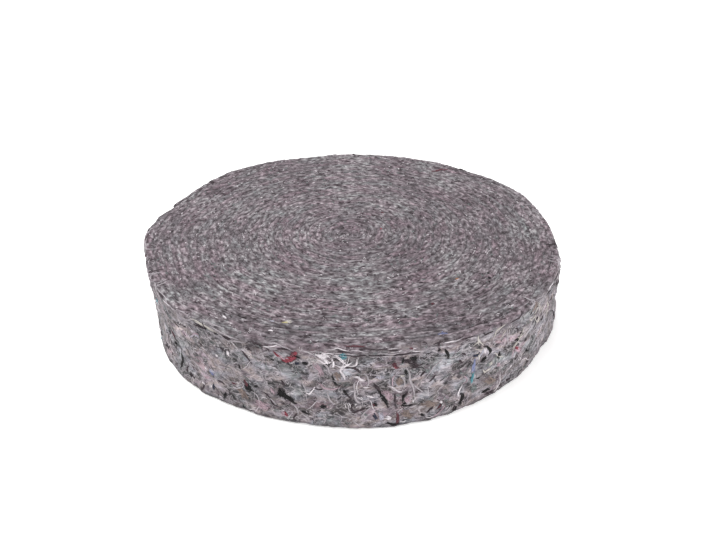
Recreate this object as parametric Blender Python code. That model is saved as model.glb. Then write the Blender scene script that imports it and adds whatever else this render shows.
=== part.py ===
"""Roll of felt strip, wound on itself and lying flat.

A strip of thick felt, 50 mm wide, is wound into a flat roll with no core. The wound form is one solid:
a spiral of turns whose cut edges stand as low crowns on the upper face, an outer wall that bulges and
leans unevenly, and the end of the last turn, pressed thin and cut square.

Metres, +Z up. The origin is on the winding axis, on the surface that the roll lies on. Angles are
measured from +X, anticlockwise seen from above.
"""

import bisect
import math
from collections import namedtuple

import bmesh
import bpy

MILLIMETRE = 0.001

# The strip
STRIP_WIDTH = 0.050
TURN_PITCH = 0.0052
TURNS = 24
CORE_RADIUS = 0.0026
END_ANGLE = math.radians(161.5)

# The pressed end of the last turn
TAIL_LENGTH = 0.060
TAIL_THICKNESS = 0.0022

# The upper face: each turn is a groove and two shoulders, at these shares of its thickness
ROW_SHARES = (0.0, 0.24, 0.76)
ROWS_PER_TURN = len(ROW_SHARES)
ROWS = ROWS_PER_TURN * TURNS
COLUMNS = 60
GROOVE_DEPTH = 0.0014
RIM_DROP = 0.0012
RIM_INSET = 0.0009

# A groove is shallower where two turns have felted together: by how much, how many such places there
# are round a turn, and how far they move on from one turn to the next
GROOVE_FADE = 0.4
FADES_ROUND = 3
FADE_DRIFT = 1.7

# The middle of the roll lies a little low, over its first turns
CORE_DIP = 0.0006
DIP_TURNS = 4

# How far the outline stands out from the plain spiral, at the rim, halfway down the wall and at the
# foot. It is slack where the strip was wound loosely. The inner turns share it less and less.
Outline = namedtuple("Outline", "angle_deg rim_mm middle_mm foot_mm")
OUTLINE = (
    Outline(10, -0.6, -0.2, 1.4),
    Outline(28, 2.2, 0.2, 0.5),
    Outline(50, -0.2, -0.8, -0.8),
    Outline(64, 1.4, 0.4, -0.4),
    Outline(80, -0.2, -0.6, -0.8),
    Outline(94, 1.0, -0.6, -0.6),
    Outline(107, -0.6, -0.9, -1.2),
    Outline(120, 1.4, -0.3, -0.6),
    Outline(132, 1.0, -0.4, -0.6),
    Outline(146, -1.6, -1.4, -0.8),
    Outline(154, -1.6, -1.2, -1.0),
    Outline(162, 0.2, -0.6, -1.4),
    Outline(170, 3.6, 0.8, -1.5),
    Outline(179, 4.2, 1.0, -1.6),
    Outline(196, 1.2, -0.6, -1.8),
    Outline(218, 3.4, 1.4, 2.0),
    Outline(232, 0.8, 0.4, 2.4),
    Outline(248, 1.4, 0.0, 1.4),
    Outline(268, -0.6, -0.8, 1.8),
    Outline(286, -1.0, -0.4, 2.0),
    Outline(302, 1.1, 0.6, 0.2),
    Outline(314, 2.8, 1.2, -1.2),
    Outline(328, 1.6, 0.2, -1.2),
    Outline(343, -0.2, 0.2, 2.0),
    Outline(354, -1.4, 0.0, 3.0),
)
INWARD_POWER = 3

# Soft lumps of the wall
Lump = namedtuple("Lump", "waves_round waves_up height_mm start_deg")
LUMPS = (
    Lump(7, 0.5, 0.45, 20),
    Lump(11, 0.9, 0.35, 75),
    Lump(15, 1.3, 0.30, 140),
)

# How far the edge of the strip stands above or below its usual height, turn by turn
Lift = namedtuple("Lift", "turn lift_mm")
LIFTS = (
    Lift(1, -0.5),
    Lift(3, 0.3),
    Lift(6, -0.1),
    Lift(9, 0.25),
    Lift(12, -0.2),
    Lift(16, 0.2),
    Lift(20, -0.15),
    Lift(23, 0.2),
    Lift(25, 0.0),
)

# Slow tilt of the whole upper face, in waves round it
Tilt = namedtuple("Tilt", "waves height_mm start_deg")
TILTS = (
    Tilt(1, 0.4, 205),
    Tilt(2, 0.4, 60),
    Tilt(3, 0.3, 130),
)

# The levels of the wall below the rim, and how far the strip's rounded edges pull it in there
Level = namedtuple("Level", "height_share inset_mm")
LEVELS = (
    Level(0.935, 0.10),
    Level(0.80, 0.0),
    Level(0.65, 0.0),
    Level(0.50, 0.0),
    Level(0.35, 0.0),
    Level(0.20, 0.0),
    Level(0.09, 0.0),
    Level(0.03, 0.35),
    Level(0.0, 1.20),
)

FELT_COLOUR = (0.242, 0.209, 0.231, 1.0)
FELT_ROUGHNESS = 0.95
SHARP_ANGLE = math.radians(35)
MERGE_DISTANCE = 0.00001


def clear_scene():
    for thing in list(bpy.data.objects):
        bpy.data.objects.remove(thing, do_unlink=True)


def smooth_step(share):
    share = min(max(share, 0.0), 1.0)
    return share * share * (3 - 2 * share)


def blend(low, high, share):
    return low + (high - low) * smooth_step(share)


def outline_row(angle):
    """The outline's rim, middle and foot at an angle, between the two rows on its sides."""
    degrees = math.degrees(angle) % 360
    after = bisect.bisect_right([row.angle_deg for row in OUTLINE], degrees)
    low, high = OUTLINE[after - 1], OUTLINE[after % len(OUTLINE)]
    span = (high.angle_deg - low.angle_deg) % 360
    share = ((degrees - low.angle_deg) % 360) / span
    return Outline(degrees, *(blend(a, b, share) for a, b in zip(low[1:], high[1:])))


def outline_offset(angle, height_share):
    """How far the wall stands out at this angle and height."""
    row = outline_row(angle)
    if height_share > 0.5:
        offset = blend(row.middle_mm, row.rim_mm, 2 * height_share - 1)
    else:
        offset = blend(row.foot_mm, row.middle_mm, 2 * height_share)
    for lump in LUMPS:
        up = math.cos(math.tau * lump.waves_up * height_share + lump.waves_round)
        round_it = math.sin(lump.waves_round * angle + math.radians(lump.start_deg))
        offset += lump.height_mm * up * round_it
    return offset * MILLIMETRE


def turn_lift(turn):
    """How far the strip's edge stands up at this turn, between the two rows on its sides."""
    after = bisect.bisect_right([row.turn for row in LIFTS], turn)
    if after == 0 or after == len(LIFTS):
        return LIFTS[min(after, len(LIFTS) - 1)].lift_mm
    low, high = LIFTS[after - 1], LIFTS[after]
    return blend(low.lift_mm, high.lift_mm, (turn - low.turn) / (high.turn - low.turn))


def turn_number(row, turned):
    """How many turns lie inside a row, where this share of a full turn has gone round."""
    return row // ROWS_PER_TURN + ROW_SHARES[row % ROWS_PER_TURN] + turned


def spiral_radius(row, turned):
    return CORE_RADIUS + TURN_PITCH * turn_number(row, turned)


def tail_share(row, turned):
    """How thick the last turn is here, as a share of the others. It thins towards the cut end."""
    if row <= ROWS - ROWS_PER_TURN:
        return 1.0
    to_end = (1 - turned) * math.tau * spiral_radius(ROWS, turned)
    return blend(TAIL_THICKNESS / TURN_PITCH, 1.0, to_end / TAIL_LENGTH)


def edge_height(row, turned, angle):
    """The height of the upper face at this row and angle."""
    turn = turn_number(row, turned)
    lift = turn_lift(turn)
    for tilt in TILTS:
        wave = math.sin(tilt.waves * (angle - math.radians(tilt.start_deg)))
        lift += tilt.height_mm * wave * turn / TURNS
    height = STRIP_WIDTH + lift * MILLIMETRE - blend(CORE_DIP, 0.0, turn / DIP_TURNS)
    if row == ROWS:
        return height - RIM_DROP
    if row % ROWS_PER_TURN == 0:
        felted = 0.5 + 0.5 * math.sin(FADES_ROUND * angle + FADE_DRIFT * turn)
        height -= GROOVE_DEPTH * (1 - GROOVE_FADE * felted)
    return height


def spiral_place(row, turned):
    """Where a point of the upper face lies."""
    angle = END_ANGLE + math.tau * turned
    radius = spiral_radius(row, turned)
    groove = spiral_radius(ROWS - ROWS_PER_TURN, turned)
    radius = min(radius, groove) + max(radius - groove, 0.0) * tail_share(row, turned)
    reach = min(radius / spiral_radius(ROWS, turned), 1.0) ** INWARD_POWER
    radius += outline_offset(angle, 1.0) * reach
    if row == ROWS:
        radius -= RIM_INSET
    height = edge_height(row, turned, angle)
    return radius * math.cos(angle), radius * math.sin(angle), height


def wind_upper_face(bm):
    """The upper face, as a grid wound into a spiral whose neighbouring turns share their groove."""
    bmesh.ops.create_grid(bm, x_segments=COLUMNS, y_segments=ROWS, size=1)
    for vert in bm.verts:
        turned = round((vert.co.x + 1) / 2 * COLUMNS) / COLUMNS
        row = round((vert.co.y + 1) / 2 * ROWS)
        if turned == 0 and row >= ROWS_PER_TURN:
            turned = 1
            row -= ROWS_PER_TURN
        vert.co = spiral_place(row, turned)
    bmesh.ops.remove_doubles(bm, verts=bm.verts, dist=MERGE_DISTANCE)


def free_edges(bm):
    """The edges round the middle of the upper face, and those round its outside."""
    free = [edge for edge in bm.edges if edge.is_boundary]
    halfway = spiral_radius(ROWS, 0) / 2
    inner = [e for e in free if e.verts[0].co.to_2d().length < halfway]
    outer = [e for e in free if e.verts[0].co.to_2d().length >= halfway]
    return inner, outer


def close_middle(bm, inner):
    """The first fold of the strip, as a low crown over the middle."""
    face = bmesh.ops.edgeloop_fill(bm, edges=inner)["faces"][0]
    centre = bmesh.ops.poke(bm, faces=[face])["verts"][0]
    centre.co.z = STRIP_WIDTH - CORE_DIP


def drop_wall(bm, outer):
    """The outer wall with the strip's cut end, level by level from the rim to the foot."""
    share_above = 1.0
    inset_above = RIM_INSET
    edges = outer
    for level in LEVELS:
        made = bmesh.ops.extrude_edge_only(bm, edges=edges)["geom"]
        edges = [part for part in made if isinstance(part, bmesh.types.BMEdge)]
        inset = level.inset_mm * MILLIMETRE
        for vert in (part for part in made if isinstance(part, bmesh.types.BMVert)):
            angle = math.atan2(vert.co.y, vert.co.x)
            out = outline_offset(angle, level.height_share)
            out += inset_above - inset - outline_offset(angle, share_above)
            vert.co.x += out * math.cos(angle)
            vert.co.y += out * math.sin(angle)
            vert.co.z = STRIP_WIDTH * level.height_share
        share_above = level.height_share
        inset_above = inset
    bmesh.ops.edgeloop_fill(bm, edges=edges)


def felt_material():
    material = bpy.data.materials.new("grey_recycled_felt")
    material.use_nodes = True
    shader = material.node_tree.nodes["Principled BSDF"]
    shader.inputs["Base Color"].default_value = FELT_COLOUR
    shader.inputs["Roughness"].default_value = FELT_ROUGHNESS
    shader.inputs["Metallic"].default_value = 0.0
    return material


def felt_roll(collection):
    bm = bmesh.new()
    wind_upper_face(bm)
    inner, outer = free_edges(bm)
    close_middle(bm, inner)
    drop_wall(bm, outer)
    bmesh.ops.recalc_face_normals(bm, faces=bm.faces)
    mesh = bpy.data.meshes.new("felt_roll")
    bm.to_mesh(mesh)
    bm.free()
    mesh.shade_smooth()
    mesh.set_sharp_from_angle(angle=SHARP_ANGLE)
    mesh.materials.append(felt_material())
    roll = bpy.data.objects.new("felt_roll", mesh)
    collection.objects.link(roll)


def main():
    clear_scene()
    collection = bpy.data.collections.new("felt_roll")
    bpy.context.scene.collection.children.link(collection)
    felt_roll(collection)


main()
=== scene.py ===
"""Roll of grey recycled felt, lying flat on its cut edges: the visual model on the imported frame.

A strip of needled felt is wound on itself with no core. Its turns are one piece, its last turn with the
pressed, cut end is another, and torn fibres, threads and caught scraps lie on both. Metres, +Z up, the
origin on the winding axis. Angles run anticlockwise from +X, seen from above.
"""

import logging
import math
import random
from collections.abc import Callable, Iterable, Sequence
from dataclasses import dataclass
from enum import Enum

import bmesh
import bpy
import numpy as np
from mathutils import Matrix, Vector, noise
from mathutils.bvhtree import BVHTree


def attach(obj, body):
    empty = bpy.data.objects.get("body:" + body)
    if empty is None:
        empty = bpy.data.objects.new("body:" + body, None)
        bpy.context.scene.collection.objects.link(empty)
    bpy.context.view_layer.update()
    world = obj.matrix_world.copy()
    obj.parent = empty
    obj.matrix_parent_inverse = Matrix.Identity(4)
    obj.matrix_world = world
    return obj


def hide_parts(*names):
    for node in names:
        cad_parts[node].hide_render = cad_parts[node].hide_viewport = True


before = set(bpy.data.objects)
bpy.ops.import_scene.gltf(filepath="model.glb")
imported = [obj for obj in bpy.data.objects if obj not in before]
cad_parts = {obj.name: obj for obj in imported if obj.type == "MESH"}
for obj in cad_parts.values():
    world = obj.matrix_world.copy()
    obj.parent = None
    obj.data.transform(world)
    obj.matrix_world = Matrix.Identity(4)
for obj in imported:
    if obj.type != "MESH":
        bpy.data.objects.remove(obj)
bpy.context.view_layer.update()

MM = 0.001
BODY = "root"
NODE = "felt_roll"
MERGE_DISTANCE = 0.00001
SHARP_ANGLE = math.radians(65)
THREAD_SHARP_ANGLE = math.radians(150)
LOG = logging.getLogger("felt_roll")

# The Mix node's sockets share their names, so they are found by number.
MIX_SHARE = 0
FLOAT_A = 2
FLOAT_B = 3
FLOAT_RESULT = 0
COLOUR_A = 6
COLOUR_B = 7
COLOUR_RESULT = 2
FLOAT_MIX = {"data_type": "FLOAT"}
COLOUR_MIX = {"data_type": "RGBA"}
COLOUR_PRODUCT = {"data_type": "RGBA", "blend_type": "MULTIPLY"}
PRODUCT = {"operation": "MULTIPLY"}


def linear(colour: str) -> tuple[float, float, float, float]:
    """Turns an sRGB hex colour into Blender's linear one.

    Args:
        colour: six hex digits after a #.

    Returns:
        Red, green, blue and alpha.
    """
    shares = [int(colour[start : start + 2], 16) / 255 for start in (1, 3, 5)]
    parts = [s / 12.92 if s <= 0.04045 else ((s + 0.055) / 1.055) ** 2.4 for s in shares]
    return (*parts, 1.0)


def smooth_step(share: np.ndarray) -> np.ndarray:
    """Eases a share between 0 and 1 at both ends."""
    share = np.clip(share, 0.0, 1.0)
    return share * share * (3 - 2 * share)


def blend(low: np.ndarray, high: np.ndarray, share: np.ndarray) -> np.ndarray:
    """Goes smoothly from low to high as share goes from 0 to 1."""
    return low + (high - low) * smooth_step(share)


def add_node(
    tree: bpy.types.NodeTree,
    kind: str,
    settings: dict[str, object] | None = None,
    inputs: dict[str | int, object] | None = None,
    stops: Sequence[tuple[float, str]] = (),
) -> bpy.types.Node:
    """Adds a node with its settings and links.

    Args:
        tree: the material's node tree.
        kind: the node's type name after "ShaderNode".
        settings: the node's own properties.
        inputs: for each input's name or number, a value or the socket linked to it.
        stops: places and hex colours of a colour ramp.

    Returns:
        The new node.
    """
    node = tree.nodes.new("ShaderNode" + kind)
    for name, value in (settings or {}).items():
        setattr(node, name, value)
    for name, value in (inputs or {}).items():
        if isinstance(value, bpy.types.NodeSocket):
            tree.links.new(value, node.inputs[name])
        else:
            node.inputs[name].default_value = value
    for number, (place, colour) in enumerate(stops):
        elements = node.color_ramp.elements
        stop = elements[number] if number < 2 else elements.new(place)
        stop.position = place
        stop.color = linear(colour)
    return node


def start_material(name: str) -> tuple[bpy.types.Material, bpy.types.NodeTree, bpy.types.Node]:
    """Starts a node material.

    Args:
        name: the material's name.

    Returns:
        The material, its node tree and its shader.
    """
    material = bpy.data.materials.new(name)
    material.use_nodes = True
    tree = material.node_tree
    return material, tree, tree.nodes["Principled BSDF"]


def settle(piece: bpy.types.Object, material: bpy.types.Material) -> bpy.types.Object:
    """Dresses a finished piece and puts it on the frame.

    Args:
        piece: the piece, with its place in its mesh.
        material: its finish.

    Returns:
        The same piece.
    """
    bpy.context.scene.collection.objects.link(piece)
    piece.data.materials.append(material)
    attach(piece, BODY)
    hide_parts(NODE)
    piece.data.calc_loop_triangles()
    LOG.info("%s: %d triangles", piece.name, len(piece.data.loop_triangles))
    return piece


@dataclass(frozen=True)
class OutlineRow:
    """How far the outline stands out from the plain spiral at one angle."""

    angle_deg: float
    rim_mm: float
    middle_mm: float
    foot_mm: float


@dataclass(frozen=True)
class Lump:
    """A soft lump of the wall, in waves round it and up it."""

    waves_round: int
    waves_up: float
    height_mm: float
    start_deg: float


@dataclass(frozen=True)
class Lift:
    """How far the strip's edge stands up at one turn."""

    turn: float
    lift_mm: float


@dataclass(frozen=True)
class Tilt:
    """A slow tilt of the whole upper face."""

    waves: int
    height_mm: float
    start_deg: float


OUTLINE = (
    OutlineRow(10, -0.6, -0.2, 1.4),
    OutlineRow(28, 2.2, 0.2, 0.5),
    OutlineRow(50, -0.2, -0.8, -0.8),
    OutlineRow(64, 1.4, 0.4, -0.4),
    OutlineRow(80, -0.2, -0.6, -0.8),
    OutlineRow(94, 1.0, -0.6, -0.6),
    OutlineRow(107, -0.6, -0.9, -1.2),
    OutlineRow(120, 1.4, -0.3, -0.6),
    OutlineRow(132, 1.0, -0.4, -0.6),
    OutlineRow(146, -1.6, -1.4, -0.8),
    OutlineRow(154, -1.6, -1.2, -1.0),
    OutlineRow(162, 0.2, -0.6, -1.4),
    OutlineRow(170, 3.6, 0.8, -1.5),
    OutlineRow(179, 4.2, 1.0, -1.6),
    OutlineRow(196, 1.2, -0.6, -1.8),
    OutlineRow(218, 3.4, 1.4, 2.0),
    OutlineRow(232, 0.8, 0.4, 2.4),
    OutlineRow(248, 1.4, 0.0, 1.4),
    OutlineRow(268, -0.6, -0.8, 1.8),
    OutlineRow(286, -1.0, -0.4, 2.0),
    OutlineRow(302, 1.1, 0.6, 0.2),
    OutlineRow(314, 2.8, 1.2, -1.2),
    OutlineRow(328, 1.6, 0.2, -1.2),
    OutlineRow(343, -0.2, 0.2, 2.0),
    OutlineRow(354, -1.4, 0.0, 3.0),
)
LUMPS = (Lump(7, 0.5, 0.45, 20), Lump(11, 0.9, 0.35, 75), Lump(15, 1.3, 0.30, 140))
LIFTS = (
    Lift(1, -0.5),
    Lift(3, 0.3),
    Lift(6, -0.1),
    Lift(9, 0.25),
    Lift(12, -0.2),
    Lift(16, 0.2),
    Lift(20, -0.15),
    Lift(23, 0.2),
    Lift(25, 0.0),
)
TILTS = (Tilt(1, 0.4, 205), Tilt(2, 0.4, 60), Tilt(3, 0.3, 130))


@dataclass(frozen=True)
class RollForm:
    """The wound strip's sizes and where its surfaces lie. A turn counts from the middle of the roll."""

    strip_width: float = 0.050
    turn_pitch: float = 0.0052
    turns: int = 24
    core_radius: float = 0.0026
    end_angle: float = math.radians(161.5)
    tail_length: float = 0.060
    tail_thickness: float = 0.0022
    groove_depth: float = 0.0008
    groove_power: float = 5.0
    groove_fade: float = 0.6
    fades_round: int = 3
    fade_drift: float = 1.7
    core_dip: float = 0.0006
    dip_turns: float = 4.0
    inward_power: float = 3.0
    full_reach: float = 0.130
    wall_reach: float = 0.122

    def angle(self, turn: np.ndarray) -> np.ndarray:
        """The angle that the strip has come round to at this turn."""
        return self.end_angle + math.tau * turn

    def length_to(self, turn: np.ndarray) -> np.ndarray:
        """The strip's length from its start to this turn."""
        middle = self.core_radius + self.turn_pitch / 2
        return math.tau * (middle * turn + self.turn_pitch * turn * turn / 2)

    def thickness(self, turn: np.ndarray) -> np.ndarray:
        """The strip's thickness here. It thins towards the pressed end of the last turn."""
        to_end = (self.turns - turn) * math.tau * (self.core_radius + self.turn_pitch * (turn + 1))
        return blend(self.tail_thickness, self.turn_pitch, to_end / self.tail_length)

    def outline(self, angle: np.ndarray, height_share: np.ndarray) -> np.ndarray:
        """How far the wall stands out from the plain spiral.

        Args:
            angle: the angle.
            height_share: the height as a share of the strip's width.

        Returns:
            The distance outwards, in metres.
        """
        degrees = np.degrees(angle) % 360
        rows = np.array([(r.angle_deg, r.rim_mm, r.middle_mm, r.foot_mm) for r in OUTLINE])
        after = np.searchsorted(rows[:, 0], degrees, side="right")
        low = rows[after - 1]
        high = rows[after % len(rows)]
        span = (high[..., 0] - low[..., 0]) % 360
        share = ((degrees - low[..., 0]) % 360) / span
        rim, middle, foot = (blend(low[..., k], high[..., k], share) for k in (1, 2, 3))
        upper = blend(middle, rim, 2 * height_share - 1)
        lower = blend(foot, middle, 2 * height_share)
        offset = np.where(height_share > 0.5, upper, lower)
        for lump in LUMPS:
            up = np.cos(math.tau * lump.waves_up * height_share + lump.waves_round)
            round_it = np.sin(lump.waves_round * angle + math.radians(lump.start_deg))
            offset += lump.height_mm * up * round_it
        return offset * MM

    def lift(self, turn: np.ndarray, angle: np.ndarray) -> np.ndarray:
        """How far the strip's upper edge stands above its usual height.

        Args:
            turn: the turn.
            angle: its angle.

        Returns:
            The height, in metres.
        """
        turns = np.array([row.turn for row in LIFTS])
        lifts = np.array([row.lift_mm for row in LIFTS])
        after = np.clip(np.searchsorted(turns, turn, side="right"), 1, len(turns) - 1)
        share = (turn - turns[after - 1]) / (turns[after] - turns[after - 1])
        lift = blend(lifts[after - 1], lifts[after], share)
        for tilt in TILTS:
            wave = np.sin(tilt.waves * (angle - math.radians(tilt.start_deg)))
            lift += tilt.height_mm * wave * turn / self.turns
        return lift * MM - blend(self.core_dip, 0.0, turn / self.dip_turns)

    def groove(self, turn: np.ndarray, angle: np.ndarray, share: np.ndarray) -> np.ndarray:
        """How deep the edge drops to the groove on either side of a turn.

        Args:
            turn: the turn.
            angle: its angle.
            share: the place in the turn, as a share of its thickness.

        Returns:
            The depth, in metres.
        """
        felted = 0.5 + 0.5 * np.sin(self.fades_round * angle + self.fade_drift * turn)
        depth = self.groove_depth * (1 - self.groove_fade * felted)
        return depth * np.abs(2 * share - 1) ** self.groove_power

    def place(self, radius: np.ndarray, angle: np.ndarray, height: np.ndarray) -> np.ndarray:
        """Where a point lies that the plain spiral puts at this radius.

        Args:
            radius: its distance from the winding axis before the roll's slack outline is added.
            angle: its angle.
            height: its height.

        Returns:
            Its coordinates, along a last axis.
        """
        reach = np.minimum(radius / self.full_reach, 1.0) ** self.inward_power
        share = np.clip(height / self.strip_width, 0.0, 1.0)
        out = radius + self.outline(angle, share) * reach
        return np.stack((out * np.cos(angle), out * np.sin(angle), height), axis=-1)


def felt_relief(along: float, across: float, broad: float) -> float:
    """How far needled felt stands out or in at a place of the strip.

    Args:
        along: the place along the strip, in metres.
        across: the place across its surface, in metres.
        broad: 1 on the strip's broad face, 0 on its cut edge.

    Returns:
        The height in metres, outwards.
    """
    # Each noise's place is divided by its waves' length and width in mm, with a number of its own last
    u, v = along / MM, across / MM
    height = 0.0
    if broad < 1.0:
        streaks = noise.noise(Vector((u / 6.5, v / 1.3, 3.1)))
        wisps = noise.noise(Vector((u / 2.6, v / 0.8, 7.7)))
        waves = noise.noise(Vector((u / 30, v / 9, 1.3)))
        height += (1 - broad) * (0.34 * streaks + 0.22 * wisps + 0.30 * waves)
    if broad > 0.0:
        lumps = noise.noise(Vector((u / 13, v / 10, 5.5)))
        wads = noise.noise(Vector((u / 5.5, v / 4.5, 9.2)))
        tufts = noise.noise(Vector((u / 2.0, v / 1.8, 2.4)))
        height += broad * (0.75 * lumps + 0.50 * wads + 0.28 * tufts)
    return height * MM


def wind_grid(
    places: np.ndarray, along: np.ndarray, across: np.ndarray, groove: np.ndarray, broad: np.ndarray
) -> bmesh.types.BMesh:
    """Winds a grid into a closed form and gives it the felt's relief.

    Args:
        places: where the grid's points lie, columns by rows by three.
        along: how far along the strip each corner of the grid is, at the start of its face's row.
        across: how far across the strip's surface, the same way. Its last axis is the lower and upper
            side of a face's row.
        groove: how near each point is to a groove, from 0 to 1.
        broad: 1 on the strip's broad face and 0 on its cut edges. Below 0 the point is hidden and stays
            plain.

    Returns:
        The closed form, with its UV map "strip" and the attributes "groove" and "broad_face".
    """
    columns, rows = places.shape[0] - 1, places.shape[1] - 1
    bm = bmesh.new()
    bmesh.ops.create_grid(bm, x_segments=columns, y_segments=rows, size=1)
    strip = bm.loops.layers.uv.new("strip")
    groove_layer = bm.verts.layers.float.new("groove")
    broad_layer = bm.verts.layers.float.new("broad_face")
    relief_layer = bm.verts.layers.float.new("relief")
    column_of = {vert: round((vert.co.x + 1) / 2 * columns) for vert in bm.verts}
    row_of = {vert: round((vert.co.y + 1) / 2 * rows) for vert in bm.verts}
    for face in bm.faces:
        first = min(row_of[vert] for vert in face.verts)
        for loop in face.loops:
            column = column_of[loop.vert]
            side = row_of[loop.vert] - first
            loop[strip].uv = (along[column, first, side], across[first, side])
    for vert in bm.verts:
        column, row = column_of[vert], row_of[vert]
        vert.co = places[column, row]
        vert[groove_layer] = groove[row]
        vert[broad_layer] = max(broad[row], 0.0)
        if broad[row] >= 0:
            first = min(row, rows - 1)
            side = row - first
            u, v = along[column, first, side], across[first, side]
            vert[relief_layer] = felt_relief(u, v, broad[row])
    bmesh.ops.remove_doubles(bm, verts=bm.verts, dist=MERGE_DISTANCE)
    bmesh.ops.holes_fill(bm, edges=[edge for edge in bm.edges if edge.is_boundary], sides=0)
    bmesh.ops.recalc_face_normals(bm, faces=bm.faces)
    bm.normal_update()
    moves = [(vert, vert.normal * vert[relief_layer]) for vert in bm.verts]
    for vert, move in moves:
        vert.co += move
        vert.co.z = max(vert.co.z, 0.0)
    bm.verts.layers.float.remove(relief_layer)
    return bm


def finish_mesh(bm: bmesh.types.BMesh, name: str, sharp_angle: float = SHARP_ANGLE) -> bpy.types.Object:
    """Turns a finished bmesh into a smooth-shaded object.

    Args:
        bm: the form. It is freed.
        name: the piece's name.
        sharp_angle: edges that turn further than this stay sharp.

    Returns:
        The object, not yet in the scene.
    """
    mesh = bpy.data.meshes.new(name)
    bm.to_mesh(mesh)
    bm.free()
    mesh.shade_smooth()
    mesh.set_sharp_from_angle(angle=sharp_angle)
    return bpy.data.objects.new(name, mesh)


@dataclass(frozen=True)
class InnerTurns:
    """All turns but the last, as one closed form whose neighbouring turns share their grooves."""

    form: RollForm
    columns: int = 360
    upper_shares: tuple[float, ...] = (0.0, 0.10, 0.26, 0.42, 0.58, 0.74, 0.90)
    under_shares: tuple[float, ...] = (0.0, 0.24, 0.76)
    core_shares: tuple[float, ...] = (0.0, 0.35, 0.7)
    start_turn: float = -0.02
    under_groove: float = 0.0005

    def rows(self, shares: tuple[float, ...]) -> list[tuple[float, float, float]]:
        """The rows of one face from the middle outwards.

        Args:
            shares: the rows of a turn, as shares of its thickness.

        Returns:
            For each row its turn, its share of the turn's thickness and its share of the core's radius.
        """
        core = [(0.0, 0.5, share) for share in self.core_shares]
        wound = [(turn + share, share, 1.0) for turn in range(self.form.turns - 1) for share in shares]
        return core + wound + [(self.form.turns - 1.0, 0.0, 1.0)]

    def build(self) -> bpy.types.Object:
        """Winds the upper face, the hidden outer side and the underside as one grid, and closes it.

        Returns:
            The closed piece, not yet in the scene.
        """
        form = self.form
        upper = self.rows(self.upper_shares)
        under = self.rows(self.under_shares)[::-1]
        turned = np.arange(self.columns + 1)[:, None] / self.columns + self.start_turn
        rows = np.array(upper + under)
        turn = rows[None, :, 0] + turned
        share = np.broadcast_to(rows[None, :, 1], turn.shape)
        radius = (form.core_radius + form.turn_pitch * turn) * rows[None, :, 2]
        angle = np.broadcast_to(form.angle(turned), turn.shape)
        top = np.arange(len(rows))[None, :] < len(upper)
        drop = form.groove(turn, angle, share)
        edge = form.strip_width + form.lift(turn, angle) - drop
        sole = self.under_groove * drop / form.groove_depth
        places = form.place(radius, angle, np.where(top, edge, sole))

        layer = np.floor(rows[:, 0])
        length = form.length_to(layer[None, :] + turned)
        along = np.stack((length, length), axis=-1)
        flat = rows[:, 1] * form.turn_pitch
        ends = np.append(flat[1:], 0.0)
        ends[: len(upper)] = np.where(ends[: len(upper)] == 0.0, form.turn_pitch, ends[: len(upper)])
        starts = flat.copy()
        starts[len(upper) :] = np.where(flat[len(upper) :] == 0.0, form.turn_pitch, flat[len(upper) :])
        across = np.stack((starts, ends), axis=-1)
        groove = np.abs(2 * rows[:, 1] - 1) ** form.groove_power
        broad = np.zeros(len(rows))
        bm = wind_grid(places, along, across, groove, broad)
        return finish_mesh(bm, "inner_turns")


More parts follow.
